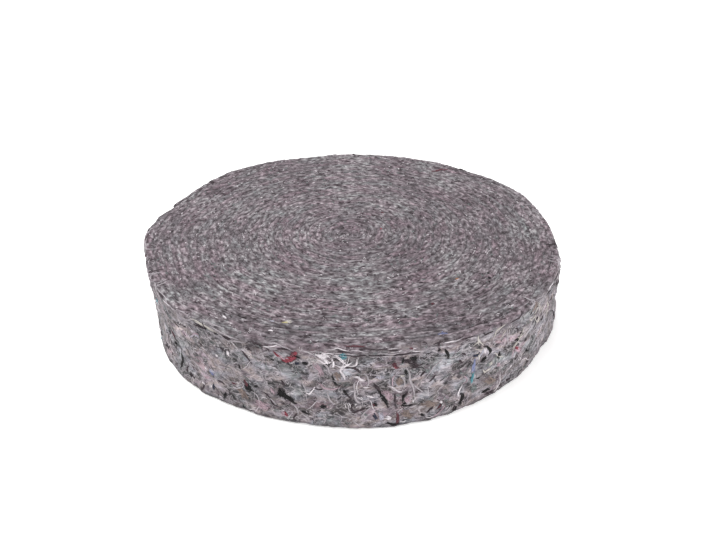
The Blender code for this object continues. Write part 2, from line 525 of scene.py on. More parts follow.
@dataclass(frozen=True)
class OuterTurn:
    """The last turn as a closed strip: its crowned edge, its wall, and its pressed, cut end."""

    form: RollForm
    columns: int = 830
    start_turn: float = 22.98
    crown_shares: tuple[float, ...] = (0.0, 0.10, 0.26, 0.42, 0.56)
    rim_radius: float = 0.0017
    rim_steps: int = 5
    foot_radius: float = 0.0014
    foot_steps: int = 3
    wall_step: float = 0.00105
    rim_zone: float = 0.006
    rim_broad: float = 0.35
    hidden_rises: tuple[float, ...] = (0.0, 0.1, 0.5, 0.92)

    def section(self, height: float) -> list[tuple[float, float, float, float, float]]:
        """The strip's section: over the crowned edge, down the wall and up the hidden side.

        Args:
            height: the strip's width.

        Returns:
            For each row its share of the thickness, its inset from the wall, its depth below the edge,
            its share of the height, and how far it belongs to the broad face: below 0 it is hidden.
        """
        wall = height - self.rim_radius
        rows = [(share, 0.0, 0.0, 1.0, 0.0) for share in self.crown_shares]
        for step in range(self.rim_steps):
            rounding = (step + 0.5) / self.rim_steps
            bend = math.pi / 2 * rounding
            inset = self.rim_radius * (1 - math.sin(bend))
            depth = self.rim_radius * (1 - math.cos(bend))
            rows.append((1.0, inset, depth, 1.0, self.rim_broad * rounding))
        levels = round((wall - self.foot_radius) / self.wall_step)
        for step in range(levels + 1):
            rise = 1.0 - step / levels * (1 - self.foot_radius / wall)
            down = (1 - rise) * height / self.rim_zone
            broad = min(1.0, self.rim_broad + (1 - self.rim_broad) * down)
            rows.append((1.0, 0.0, self.rim_radius, rise, broad))
        for step in range(self.foot_steps):
            bend = math.pi / 2 * (step + 1) / self.foot_steps
            inset = self.foot_radius * (1 - math.cos(bend))
            rise = self.foot_radius / wall * (1 - math.sin(bend))
            rows.append((1.0, inset, self.rim_radius, rise, 1.0))
        rows += [(0.0, 0.0, self.rim_radius, rise, -1.0) for rise in self.hidden_rises]
        return rows + rows[:1]

    def build(self) -> bpy.types.Object:
        """Sweeps the strip's section round the last turn and closes its two ends.

        Returns:
            The closed piece, not yet in the scene.
        """
        form = self.form
        height = form.strip_width
        turn = np.linspace(self.start_turn, form.turns, self.columns + 1)[:, None]
        angle = form.angle(turn)
        inner = form.core_radius + form.turn_pitch * turn
        thick = form.thickness(turn)
        edge = height + form.lift(turn + 0.5, angle)

        parts = np.array(self.section(height)).T
        share_row, inset_row, depth_row, rise_row, broad_row = (part[None, :] for part in parts)
        radius = inner + thick * share_row - inset_row
        wide_angle = np.broadcast_to(angle, radius.shape)
        crowned = (share_row < 0.5) & (broad_row >= 0)
        drop = np.where(crowned, form.groove(turn, wide_angle, share_row), 0.0)
        tall = (edge - depth_row - drop) * rise_row
        places = form.place(radius, wide_angle, tall)

        steps = np.linalg.norm(np.diff(places[self.columns // 2], axis=0), axis=1)
        walked = np.append(0.0, np.cumsum(steps))
        across = np.stack((walked, np.append(walked[1:], walked[-1])), axis=-1)
        length = np.broadcast_to(form.length_to(turn), tall.shape)
        along = np.stack((length, length), axis=-1)
        groove = np.where(share_row[0] < 0.5, np.abs(2 * share_row[0] - 1) ** form.groove_power, 0.0)
        bm = wind_grid(places, along, across, groove, broad_row[0])
        return finish_mesh(bm, "outer_turn")


class RollSurface:
    """The surface of the felt, for laying fibres and threads on it."""

    def __init__(self, pieces: Iterable[bpy.types.Object], form: RollForm) -> None:
        """Reads the pieces' surfaces.

        Args:
            pieces: the felt's pieces.
            form: the roll's sizes.
        """
        bm = bmesh.new()
        for piece in pieces:
            bm.from_mesh(piece.data)
        self.tree = BVHTree.FromBMesh(bm)
        self.form = form
        bm.free()

    def snap(self, point: Vector) -> tuple[Vector, Vector]:
        """The nearest place on the felt and its outward direction."""
        place, normal, _, _ = self.tree.find_nearest(point)
        return place, normal

    def on_wall(self, angle: float, height: float) -> tuple[Vector, Vector]:
        """Finds the wall from outside.

        Args:
            angle: the angle, in radians.
            height: the height, in metres.

        Returns:
            The place on the wall and its outward direction.
        """
        way = Vector((math.cos(angle), math.sin(angle), 0.0))
        start = way * 0.2 + Vector((0, 0, min(max(height, 0.0005), self.form.strip_width + 0.001)))
        place, normal, _, _ = self.tree.ray_cast(start, -way)
        if place is None or place.dot(way) < self.form.wall_reach:
            return self.snap(way * self.form.full_reach + Vector((0, 0, height)))
        return place, normal

    def on_top(self, angle: float, radius: float) -> tuple[Vector, Vector]:
        """Finds the upper face from above.

        Args:
            angle: the angle, in radians.
            radius: the radius, in metres.

        Returns:
            The place on the upper face and its outward direction.
        """
        start = Vector((radius * math.cos(angle), radius * math.sin(angle), 0.1))
        place, normal, _, _ = self.tree.ray_cast(start, Vector((0, 0, -1)))
        if place is None:
            return self.snap(start)
        return place, normal


@dataclass(frozen=True)
class FibreLine:
    """Curling fibres of one sort on the broad face: their noise, width in it, colour and strength."""

    size: float
    width: float
    colour: str
    strength: float


# A fibre of 0.02 mm is too fine to show, so each line is about 0.4 mm wide and stands for a few.
FIBRE_LINES = (
    FibreLine(0.0110, 0.024, "#d6ced3", 0.42),
    FibreLine(0.0065, 0.030, "#aea7ab", 0.30),
    FibreLine(0.0085, 0.022, "#2b2529", 0.45),
    FibreLine(0.0045, 0.040, "#cac3c7", 0.30),
    FibreLine(0.0040, 0.038, "#3a3337", 0.30),
)


@dataclass(frozen=True)
class StreakLayer:
    """One layer of streaks on the cut edge: their size along and across the strip, and their grain."""

    length: float
    width: float
    detail: float
    roughness: float


# Felted layers: streaks 2.5 mm long and 1.3 mm wide, and finer ones of 1.3 by 0.7 mm. Single fibres of
# 0.02 mm are too fine to show, so these stand for bundles of them.
STREAK_LAYERS = (StreakLayer(0.0047, 0.0024, 3.0, 0.62), StreakLayer(0.0024, 0.0012, 2.0, 0.6))


@dataclass(frozen=True)
class NeedledFelt:
    """Needled felt of torn recycled fibres.

    It has no weave. The cut edge shows the felted layers as fine pale and dark streaks along the
    strip. The broad face shows soft blotches of the torn cloth's colours under a web of curling pale
    fibres.
    """

    name: str = "needled_recycled_felt"
    fine_streak_share: float = 0.26
    drawn_out: float = 1.55
    line_relief: float = 0.25
    roughness_low: float = 0.86
    roughness_high: float = 0.98
    sheen: float = 0.12
    sheen_roughness: float = 0.6
    bump_mm: float = 0.7

    def streaks(self, tree: bpy.types.NodeTree, strip: bpy.types.NodeSocket) -> bpy.types.NodeSocket:
        """The felted layers' streaks on the cut edge.

        Args:
            tree: the material's tree.
            strip: places along and across the strip, in metres.

        Returns:
            The streaks, from 0 to 1.
        """
        layers = []
        for layer in STREAK_LAYERS:
            scale = (1 / layer.length, 1 / layer.width, 1)
            stretched = add_node(tree, "Mapping", inputs={"Vector": strip, "Scale": scale})
            grain = {"Scale": 1.0, "Detail": layer.detail, "Roughness": layer.roughness}
            sockets = {"Vector": stretched.outputs[0], **grain}
            layers.append(add_node(tree, "TexNoise", {"noise_dimensions": "2D"}, sockets))
        coarse, fine = (layer.outputs["Fac"] for layer in layers)
        return add_node(
            tree, "Mix", FLOAT_MIX, {MIX_SHARE: self.fine_streak_share, FLOAT_A: coarse, FLOAT_B: fine}
        ).outputs[FLOAT_RESULT]

    def edge_colour(
        self, tree: bpy.types.NodeTree, strip: bpy.types.NodeSocket, place: bpy.types.NodeSocket
    ) -> tuple[bpy.types.NodeSocket, bpy.types.NodeSocket]:
        """The colour and relief of the cut edge, with painted shade in its grooves.

        Args:
            tree: the material's tree.
            strip: places along and across the strip, in metres.
            place: Object coordinates.

        Returns:
            The colour socket and the relief socket.
        """
        streaks = self.streaks(tree, strip)
        colour = add_node(
            tree,
            "ValToRGB",
            inputs={"Fac": streaks},
            stops=(
                (0.32, "#2a1e24"),
                (0.68, "#dad6d8"),
                (0.42, "#5e5258"),
                (0.50, "#867f83"),
                (0.57, "#a5a0a3"),
            ),
        ).outputs[0]
        # Torn cloths of different colours, in patches of about 11 mm along the strip
        patch_map = add_node(
            tree, "Mapping", inputs={"Vector": strip, "Scale": (1 / 0.022, 1 / 0.010, 1)}
        )
        patches = add_node(
            tree, "TexNoise", inputs={"Vector": patch_map.outputs[0], "Scale": 1.0, "Detail": 1.0}
        )
        tints = add_node(
            tree,
            "ValToRGB",
            inputs={"Fac": patches.outputs["Fac"]},
            stops=((0.34, "#bfc5c5"), (0.66, "#cfc2c8"), (0.45, "#c7c8c8"), (0.54, "#ccc7ca")),
        )
        # Greyer, paler stretches and redder, darker ones of several turns, about 30 mm
        drift = add_node(tree, "TexNoise", inputs={"Vector": place, "Scale": 1 / 0.034, "Detail": 2.0})
        levels = add_node(
            tree,
            "ValToRGB",
            inputs={"Fac": drift.outputs["Fac"]},
            stops=((0.36, "#d2c5cc"), (0.64, "#ffffff")),
        )
        for layer in (tints, levels):
            sockets = {MIX_SHARE: 1.0, COLOUR_A: colour, COLOUR_B: layer.outputs[0]}
            colour = add_node(tree, "Mix", COLOUR_PRODUCT, sockets).outputs[COLOUR_RESULT]
        # The grooves between the turns get painted shade, darker in broken stretches of about 12 mm
        groove = add_node(tree, "Attribute", {"attribute_name": "groove"}).outputs["Fac"]
        broken = add_node(tree, "TexNoise", inputs={"Vector": place, "Scale": 1 / 0.012, "Detail": 2.0})
        dark = add_node(
            tree,
            "MapRange",
            inputs={
                "Value": broken.outputs["Fac"],
                "From Min": 0.45,
                "From Max": 0.60,
                "To Min": 0.0,
                "To Max": 0.85,
            },
        )
        groove_shade_share = add_node(tree, "Math", PRODUCT, {0: groove, 1: dark.outputs[0]}).outputs[0]
        # Mixes the painted groove shade, colour #3a3338, into the edge's colour
        sockets = {MIX_SHARE: groove_shade_share, COLOUR_A: colour, COLOUR_B: linear("#3a3338")}
        return add_node(tree, "Mix", COLOUR_MIX, sockets).outputs[COLOUR_RESULT], streaks

    def torn_cloth(self, tree: bpy.types.NodeTree, place: bpy.types.NodeSocket) -> bpy.types.NodeSocket:
        """The blotches of torn cloth on the broad face, 8 to 20 mm, each with its dye.

        Args:
            tree: the material's tree.
            place: places along and across the strip, drawn out along it.

        Returns:
            Their colour.
        """
        blotches = add_node(
            tree,
            "TexNoise",
            inputs={
                "Vector": place,
                "Scale": 1 / 0.018,
                "Detail": 3.0,
                "Roughness": 0.55,
                "Distortion": 0.5,
            },
        )
        cloth = add_node(
            tree,
            "ValToRGB",
            inputs={"Fac": blotches.outputs["Fac"]},
            stops=((0.32, "#4e4e4e"), (0.68, "#d4d4d4"), (0.44, "#868686"), (0.56, "#a9a9a9")),
        )
        moved = add_node(tree, "Mapping", inputs={"Vector": place, "Location": (0.31, 0.17, 0.0)})
        dyes = add_node(
            tree, "TexNoise", inputs={"Vector": moved.outputs[0], "Scale": 1 / 0.019, "Detail": 2.0}
        )
        dyed = add_node(
            tree,
            "ValToRGB",
            inputs={"Fac": dyes.outputs["Fac"]},
            stops=(
                (0.32, "#dfe7e8"),
                (0.68, "#f4d0da"),
                (0.42, "#e6e7f4"),
                (0.49, "#f5e8f2"),
                (0.55, "#f8e4df"),
                (0.61, "#eed9e9"),
            ),
        )
        sockets = {MIX_SHARE: 1.0, COLOUR_A: cloth.outputs[0], COLOUR_B: dyed.outputs[0]}
        return add_node(tree, "Mix", COLOUR_PRODUCT, sockets).outputs[COLOUR_RESULT]

    def face_colour(
        self, tree: bpy.types.NodeTree, strip: bpy.types.NodeSocket, height: bpy.types.NodeSocket
    ) -> tuple[bpy.types.NodeSocket, bpy.types.NodeSocket]:
        """The colour and relief of the broad face.

        Args:
            tree: the material's tree.
            strip: places along and across the strip, in metres.
            height: the height above what the roll stands on.

        Returns:
            The colour socket and the relief socket.
        """
        # The fibres lie mostly along the strip, so every pattern is drawn out that way
        place = add_node(
            tree, "Mapping", inputs={"Vector": strip, "Scale": (1.0, self.drawn_out, 1.0)}
        ).outputs[0]
        colour = self.torn_cloth(tree, place)
        # Wads of fibre, 4 to 9 mm, pale and dark in their own tones, with painted shade at the ramp's
        # dark end in the low gaps between them
        wads = add_node(
            tree,
            "TexNoise",
            inputs={
                "Vector": place,
                "Scale": 1 / 0.0092,
                "Detail": 4.0,
                "Roughness": 0.60,
                "Distortion": 0.7,
            },
        ).outputs["Fac"]
        shade = add_node(
            tree,
            "ValToRGB",
            inputs={"Fac": wads},
            stops=((0.33, "#221d20"), (0.66, "#ffffff"), (0.42, "#7f7b7e"), (0.52, "#cbc7ca")),
        )
        sockets = {MIX_SHARE: 1.0, COLOUR_A: colour, COLOUR_B: shade.outputs[0]}
        colour = add_node(tree, "Mix", COLOUR_PRODUCT, sockets).outputs[COLOUR_RESULT]
        relief = wads
        # Curling fibres, where a noise crosses its middle
        for line in FIBRE_LINES:
            aside = (line.size * 11, line.size * 23, line.size * 5)
            moved = add_node(tree, "Mapping", inputs={"Vector": place, "Location": aside})
            grain = {"Scale": 1 / line.size, "Detail": 2.0, "Distortion": 0.7}
            loops = add_node(tree, "TexNoise", inputs={"Vector": moved.outputs[0], **grain})
            off = add_node(tree, "Math", {"operation": "SUBTRACT"}, {0: loops.outputs["Fac"], 1: 0.5})
            near = add_node(tree, "Math", {"operation": "ABSOLUTE"}, {0: off.outputs[0]})
            drawn = add_node(
                tree,
                "MapRange",
                inputs={
                    "Value": near.outputs[0],
                    "From Min": 0.0,
                    "From Max": line.width,
                    "To Min": line.strength,
                    "To Max": 0.0,
                },
            ).outputs[0]
            sockets = {MIX_SHARE: drawn, COLOUR_A: colour, COLOUR_B: linear(line.colour)}
            colour = add_node(tree, "Mix", COLOUR_MIX, sockets).outputs[COLOUR_RESULT]
            raised = {0: drawn, 1: self.line_relief, 2: relief}
            relief = add_node(tree, "Math", {"operation": "MULTIPLY_ADD"}, raised).outputs[0]
        # Painted shade in the pits between the wads, 1 to 4 mm
        grain = {"Scale": 1 / 0.0055, "Detail": 3.0, "Distortion": 0.8}
        pits = add_node(tree, "TexNoise", inputs={"Vector": place, **grain})
        pit_shade_share = add_node(
            tree,
            "MapRange",
            inputs={
                "Value": pits.outputs["Fac"],
                "From Min": 0.60,
                "From Max": 0.66,
                "To Min": 0.0,
                "To Max": 0.85,
            },
        )
        # Mixes the painted pit shade, colour #231e22, into the wall's colour
        sockets = {MIX_SHARE: pit_shade_share.outputs[0], COLOUR_A: colour, COLOUR_B: linear("#231e22")}
        colour = add_node(tree, "Mix", COLOUR_MIX, sockets).outputs[COLOUR_RESULT]
        # Painted contact shadow along the foot, where the roll meets the floor, colour #262124
        foot_shadow_share = self.foot_contact_shadow(tree, strip, height)
        sockets = {MIX_SHARE: foot_shadow_share, COLOUR_A: colour, COLOUR_B: linear("#262124")}
        return add_node(tree, "Mix", COLOUR_MIX, sockets).outputs[COLOUR_RESULT], relief

    def foot_contact_shadow(
        self, tree: bpy.types.NodeTree, strip: bpy.types.NodeSocket, height: bpy.types.NodeSocket
    ) -> bpy.types.NodeSocket:
        """Painted contact shadow on the lowest 3 mm, which shows as a dark line in stretches of about 40
        mm.

        Args:
            tree: the material's tree.
            strip: places along and across the strip, in metres.
            height: the height above what the roll stands on.

        Returns:
            How far the painted contact shadow darkens the felt there, from 0 to 1.
        """
        foot = add_node(
            tree,
            "MapRange",
            inputs={
                "Value": height,
                "From Min": 0.0014,
                "From Max": 0.0034,
                "To Min": 0.92,
                "To Max": 0.0,
            },
        )
        along = add_node(tree, "Mapping", inputs={"Vector": strip, "Scale": (1 / 0.080, 0.0, 1.0)})
        stretches = add_node(tree, "TexNoise", inputs={"Vector": along.outputs[0], "Scale": 1.0})
        # Stretches along the foot where the painted contact shadow is strongest
        pressed = add_node(
            tree,
            "MapRange",
            inputs={
                "Value": stretches.outputs["Fac"],
                "From Min": 0.40,
                "From Max": 0.55,
                "To Min": 1.0,
                "To Max": 0.4,
            },
        )
        return add_node(tree, "Math", PRODUCT, {0: foot.outputs[0], 1: pressed.outputs[0]}).outputs[0]

    def make(self) -> bpy.types.Material:
        """Builds the felt's material.

        Returns:
            The material, which reads the piece's own "strip", "groove" and "broad_face".
        """
        material, tree, shader = start_material(self.name)
        strip = add_node(tree, "UVMap", {"uv_map": "strip"}).outputs[0]
        place = add_node(tree, "TexCoord").outputs["Object"]
        edge, edge_relief = self.edge_colour(tree, strip, place)
        height = add_node(tree, "SeparateXYZ", inputs={"Vector": place}).outputs["Z"]
        face, face_relief = self.face_colour(tree, strip, height)
        broad = add_node(tree, "Attribute", {"attribute_name": "broad_face"}).outputs["Fac"]
        colour = add_node(tree, "Mix", COLOUR_MIX, {MIX_SHARE: broad, COLOUR_A: edge, COLOUR_B: face})
        sockets = {MIX_SHARE: broad, FLOAT_A: edge_relief, FLOAT_B: face_relief}
        relief = add_node(tree, "Mix", FLOAT_MIX, sockets).outputs[FLOAT_RESULT]
        rough = add_node(
            tree,
            "MapRange",
            inputs={
                "Value": relief,
                "From Min": 0.3,
                "From Max": 0.7,
                "To Min": self.roughness_high,
                "To Max": self.roughness_low,
            },
        )
        bump = add_node(
            tree, "Bump", inputs={"Height": relief, "Distance": self.bump_mm * MM, "Strength": 1.0}
        )
        tree.links.new(colour.outputs[COLOUR_RESULT], shader.inputs["Base Color"])
        tree.links.new(rough.outputs[0], shader.inputs["Roughness"])
        tree.links.new(bump.outputs[0], shader.inputs["Normal"])
        shader.inputs["Sheen Weight"].default_value = self.sheen
        shader.inputs["Sheen Roughness"].default_value = self.sheen_roughness
        return material


class Tint(Enum):
    """The colours of the torn fibres and threads in the felt, each from its dark to its pale end."""

    WHITE = ("#b0a8ae", "#f2ecf0")
    PALE = ("#837c81", "#b9b2b7")
    CREAM = ("#9d9793", "#cfc9c3")
    PINK = ("#85737b", "#c2aab4")
    RED = ("#5a232c", "#a24c59")
    DARK_RED = ("#3a2026", "#6f424b")
    MAUVE = ("#60565c", "#948890")
    LILAC = ("#8a8794", "#bfbcc8")
    BLUE = ("#5a6186", "#9095b6")
    NAVY = ("#17192a", "#3a3d4e")
    TEAL = ("#37727f", "#70a6b0")
    SLATE = ("#515657", "#878c8c")
    BROWN = ("#6a5d5c", "#97877f")
    YELLOW = ("#938a62", "#c4bb94")
    ORANGE = ("#83543a", "#b98460")
    BLACK = ("#050405", "#1d191c")
    DARK = ("#231b1f", "#4b3f45")


@dataclass(frozen=True)
class TornFibre:
    """Torn fibre of an old cloth, matt and a little uneven in its dye."""

    tint: Tint
    roughness: float = 0.93
    sheen: float = 0.03
    dye_share: float = 0.3
    bump_mm: float = 0.1

    def make(self) -> bpy.types.Material:
        """Builds the fibre's material: each fibre has its own shade, and the dye changes every 2 mm.

        Returns:
            The material, which reads the piece's own "shade".
        """
        material, tree, shader = start_material(self.tint.name.lower() + "_torn_fibre")
        place = add_node(tree, "TexCoord").outputs["Object"]
        shade = add_node(tree, "Attribute", {"attribute_name": "shade"}).outputs["Fac"]
        dye = add_node(tree, "TexNoise", inputs={"Vector": place, "Scale": 1 / 0.002, "Detail": 2.0})
        uneven = dye.outputs["Fac"]
        sockets = {MIX_SHARE: self.dye_share, FLOAT_A: shade, FLOAT_B: uneven}
        mixed = add_node(tree, "Mix", FLOAT_MIX, sockets).outputs[FLOAT_RESULT]
        dark, pale = (linear(colour) for colour in self.tint.value)
        colour = add_node(tree, "Mix", COLOUR_MIX, {MIX_SHARE: mixed, COLOUR_A: dark, COLOUR_B: pale})
        fine_relief = {"Height": uneven, "Distance": self.bump_mm * MM, "Strength": 0.6}
        bump = add_node(tree, "Bump", inputs=fine_relief)
        tree.links.new(colour.outputs[COLOUR_RESULT], shader.inputs["Base Color"])
        tree.links.new(bump.outputs[0], shader.inputs["Normal"])
        shader.inputs["Roughness"].default_value = self.roughness
        shader.inputs["Sheen Weight"].default_value = self.sheen
        return material


@dataclass(frozen=True)
class FibreGroup:
    """Short fibres of one colour: their tufts on the upper face and on the wall, and their fibres."""

    tint: Tint
    top_tufts: int
    wall_tufts: int
    end_fibres: int
    tuft_size: tuple[int, int]
    radius_mm: float


FIBRES = (
    FibreGroup(Tint.PALE, 700, 460, 90, (3, 9), 0.20),
    FibreGroup(Tint.WHITE, 480, 240, 30, (2, 5), 0.20),
    FibreGroup(Tint.DARK, 1000, 400, 80, (2, 6), 0.27),
    FibreGroup(Tint.MAUVE, 560, 260, 50, (3, 8), 0.24),
    FibreGroup(Tint.SLATE, 540, 260, 40, (3, 8), 0.24),
)


@dataclass(frozen=True)
class Spindle:
    """One fibre: its spine's four points, its sideways and upward directions, radius and shade."""

    spine: tuple[Vector, ...]
    side: Vector
    up: Vector
    radius: float
    shade: float


@dataclass(frozen=True)
class FibreCover:
    """The short torn fibres that lie on the felt in tufts, in one joined mesh for each colour."""

    surface: RollSurface
    seed: int = 11
    top_length_mm: tuple[float, float] = (1.0, 3.8)
    wall_length_mm: tuple[float, float] = (1.8, 7.5)
    end_length_mm: tuple[float, float] = (1.0, 4.0)
    top_stray_deg: float = 22.0
    wall_stray_deg: float = 38.0
    tuft_stray_deg: float = 9.0
    top_spread_mm: float = 0.4
    wall_spread_mm: float = 0.8
    flatness: float = 0.45
    lift_mm: tuple[float, float] = (-0.05, 0.22)

    @staticmethod
    def template() -> tuple[np.ndarray, list[list[int]]]:
        """One fibre: a three-sided spindle.

        Returns:
            Its points, across, up and along it, and its faces.
        """
        bm = bmesh.new()
        bmesh.ops.create_cone(bm, cap_ends=True, segments=3, radius1=1, radius2=1, depth=1)
        caps = [face for face in bm.faces if abs(face.normal.z) > 0.9]
        for tip in bmesh.ops.poke(bm, faces=caps)["verts"]:
            tip.co.z *= 3
        bmesh.ops.recalc_face_normals(bm, faces=bm.faces)
        bm.verts.index_update()
        points = np.array([tuple(vert.co) for vert in bm.verts])
        faces = [[vert.index for vert in face.verts] for face in bm.faces]
        bm.free()
        return points, faces

    def lay(
        self,
        middle: tuple[Vector, Vector],
        way: Vector,
        length: float,
        radius: float,
        dice: random.Random,
    ) -> Spindle:
        """Lays one fibre on the felt.

        Args:
            middle: the place of its middle and the felt's outward direction there.
            way: the direction that it runs in.
            length: its length.
            radius: its radius.
            dice: the source of chance.

        Returns:
            The fibre.
        """
        place, normal = middle
        way = (way - normal * way.dot(normal)).normalized()
        side = normal.cross(way)
        bow = dice.uniform(-0.2, 0.2) * length
        spine = []
        for step in (-0.5, -0.17, 0.17, 0.5):
            bowed = side * (bow * (1 - 4 * step * step))
            spot, out = self.surface.snap(place + way * (step * length) + bowed)
            lift = dice.uniform(*self.lift_mm) if abs(step) < 0.3 else -0.12
            spine.append(spot + out * (lift * MM))
        return Spindle(tuple(spine), side, normal, radius, dice.random())

    def lay_tuft(
        self,
        group: FibreGroup,
        put: Callable[[float, float], tuple[Vector, Vector]],
        spot: tuple[float, float],
        slope: float,
        length: float,
        spread: float,
        dice: random.Random,
    ) -> list[Spindle]:
        """Lays a tuft of fibres that run much the same way.

        Args:
            group: the colour, numbers and thickness.
            put: turns an angle and a height or radius into a place on the felt and its direction.
            spot: the angle and the height or radius of the tuft's middle.
            slope: how far its fibres turn away from the strip's direction.
            length: the length of its longest fibres.
            spread: how far they lie from its middle line.
            dice: the source of chance.

        Returns:
            The fibres.
        """
        angle, other = spot
        up = Vector((0, 0, 1))
        reach = self.surface.form.full_reach
        laid = []
        for _ in range(dice.randint(*group.tuft_size)):
            along, aside = dice.gauss(0, 0.25 * length), dice.gauss(0, spread)
            turned = angle + (along * math.cos(slope) - aside * math.sin(slope)) / reach
            middle = put(turned, other + along * math.sin(slope) + aside * math.cos(slope))
            lean = slope + math.radians(dice.gauss(0, self.tuft_stray_deg))
            around = Vector((-math.sin(turned), math.cos(turned), 0))
            across = up if put == self.surface.on_wall else around.cross(up)
            way = around * math.cos(lean) + across * math.sin(lean)
            radius = group.radius_mm * MM * dice.uniform(0.5, 1.3)
            laid.append(self.lay(middle, way, length * dice.uniform(0.4, 1.0), radius, dice))
        return laid

    def fray(self, group: FibreGroup, dice: random.Random) -> list[Spindle]:
        """Lays the fibres that stick out of the strip's cut end, most of them near its upper corner.

        Args:
            group: the colour, numbers and thickness.
            dice: the source of chance.

        Returns:
            The fibres.
        """
        form = self.surface.form
        around = Vector((-math.sin(form.end_angle), math.cos(form.end_angle), 0))
        out = Vector((math.cos(form.end_angle), math.sin(form.end_angle), 0))
        laid = []
        for _ in range(group.end_fibres):
            height = form.strip_width * (1 - dice.random() ** 1.6)
            root, _ = self.surface.on_wall(form.end_angle - 0.004, height)
            root = root - out * dice.uniform(0, 0.8) * form.tail_thickness
            way = around + out * dice.gauss(0.15, 0.3) + Vector((0, 0, dice.gauss(0.1, 0.5)))
            length = dice.uniform(*self.end_length_mm) * MM
            way = way.normalized() * length
            side = way.cross(out).normalized()
            bow = side * dice.uniform(-0.25, 0.25) * length
            spine = (root - way * 0.3, root + bow * 0.5, root + way * 0.35 + bow, root + way * 0.7)
            radius = group.radius_mm * MM * dice.uniform(0.5, 1.0)
            laid.append(Spindle(spine, side, side.cross(way).normalized(), radius, dice.random()))
        return laid

    def build(self, group: FibreGroup) -> bpy.types.Object:
        """Lays one group's fibres and joins them.

        Args:
            group: the colour, numbers and thickness.

        Returns:
            The joined piece, in the scene.
        """
        dice = random.Random(self.seed + group.top_tufts)
        form = self.surface.form
        laid = []
        for _ in range(group.top_tufts):
            spot = (dice.uniform(0, math.tau), form.full_reach * math.sqrt(dice.uniform(0.0002, 1.0)))
            slope = math.radians(dice.gauss(0, self.top_stray_deg))
            length = dice.uniform(*self.top_length_mm) * MM
            spread = self.top_spread_mm * MM
            laid += self.lay_tuft(group, self.surface.on_top, spot, slope, length, spread, dice)
        for _ in range(group.wall_tufts):
            spot = (dice.uniform(0, math.tau), dice.uniform(0.0006, 0.0496))
            slope = math.radians(dice.gauss(0, self.wall_stray_deg))
            length = dice.uniform(*self.wall_length_mm) * MM
            spread = self.wall_spread_mm * MM
            laid += self.lay_tuft(group, self.surface.on_wall, spot, slope, length, spread, dice)
        laid += self.fray(group, dice)
        piece = self.join(group.tint.name.lower() + "_fibres", laid)
        return settle(piece, TornFibre(group.tint).make())

    def join(self, name: str, laid: list[Spindle]) -> bpy.types.Object:
        """Copies the spindle that the bmesh operators made along every fibre, all at once for speed.

        Args:
            name: the piece's name.
            laid: the fibres.

        Returns:
            The joined piece, not yet in the scene.
        """
        points, faces = self.template()
        spines = np.array([[tuple(spot) for spot in fibre.spine] for fibre in laid])
        sides = np.array([tuple(fibre.side) for fibre in laid])
        ups = np.array([tuple(fibre.up) for fibre in laid]) * self.flatness
        radii = np.array([fibre.radius for fibre in laid])
        step = np.rint(points[:, 2] + 1.5).astype(int)
        rings = points[None, :, :1] * sides[:, None] + points[None, :, 1:2] * ups[:, None]
        places = (spines[:, step] + radii[:, None, None] * rings).reshape(-1, 3)
        count = len(points)
        starts = range(0, count * len(laid), count)
        joined = [[corner + start for corner in face] for start in starts for face in faces]
        mesh = bpy.data.meshes.new(name)
        mesh.from_pydata(places.tolist(), [], joined)
        shades = np.repeat([fibre.shade for fibre in laid], count)
        mesh.attributes.new("shade", "FLOAT", "POINT").data.foreach_set("value", shades)
        mesh.shade_smooth()
        return bpy.data.objects.new(name, mesh)


@dataclass(frozen=True)
class Strand:
    """A thread or scrap caught in the wall: its colour, width, and route by angle and height."""

    tint: Tint
    width_mm: float
    route: tuple[tuple[float, float], ...]


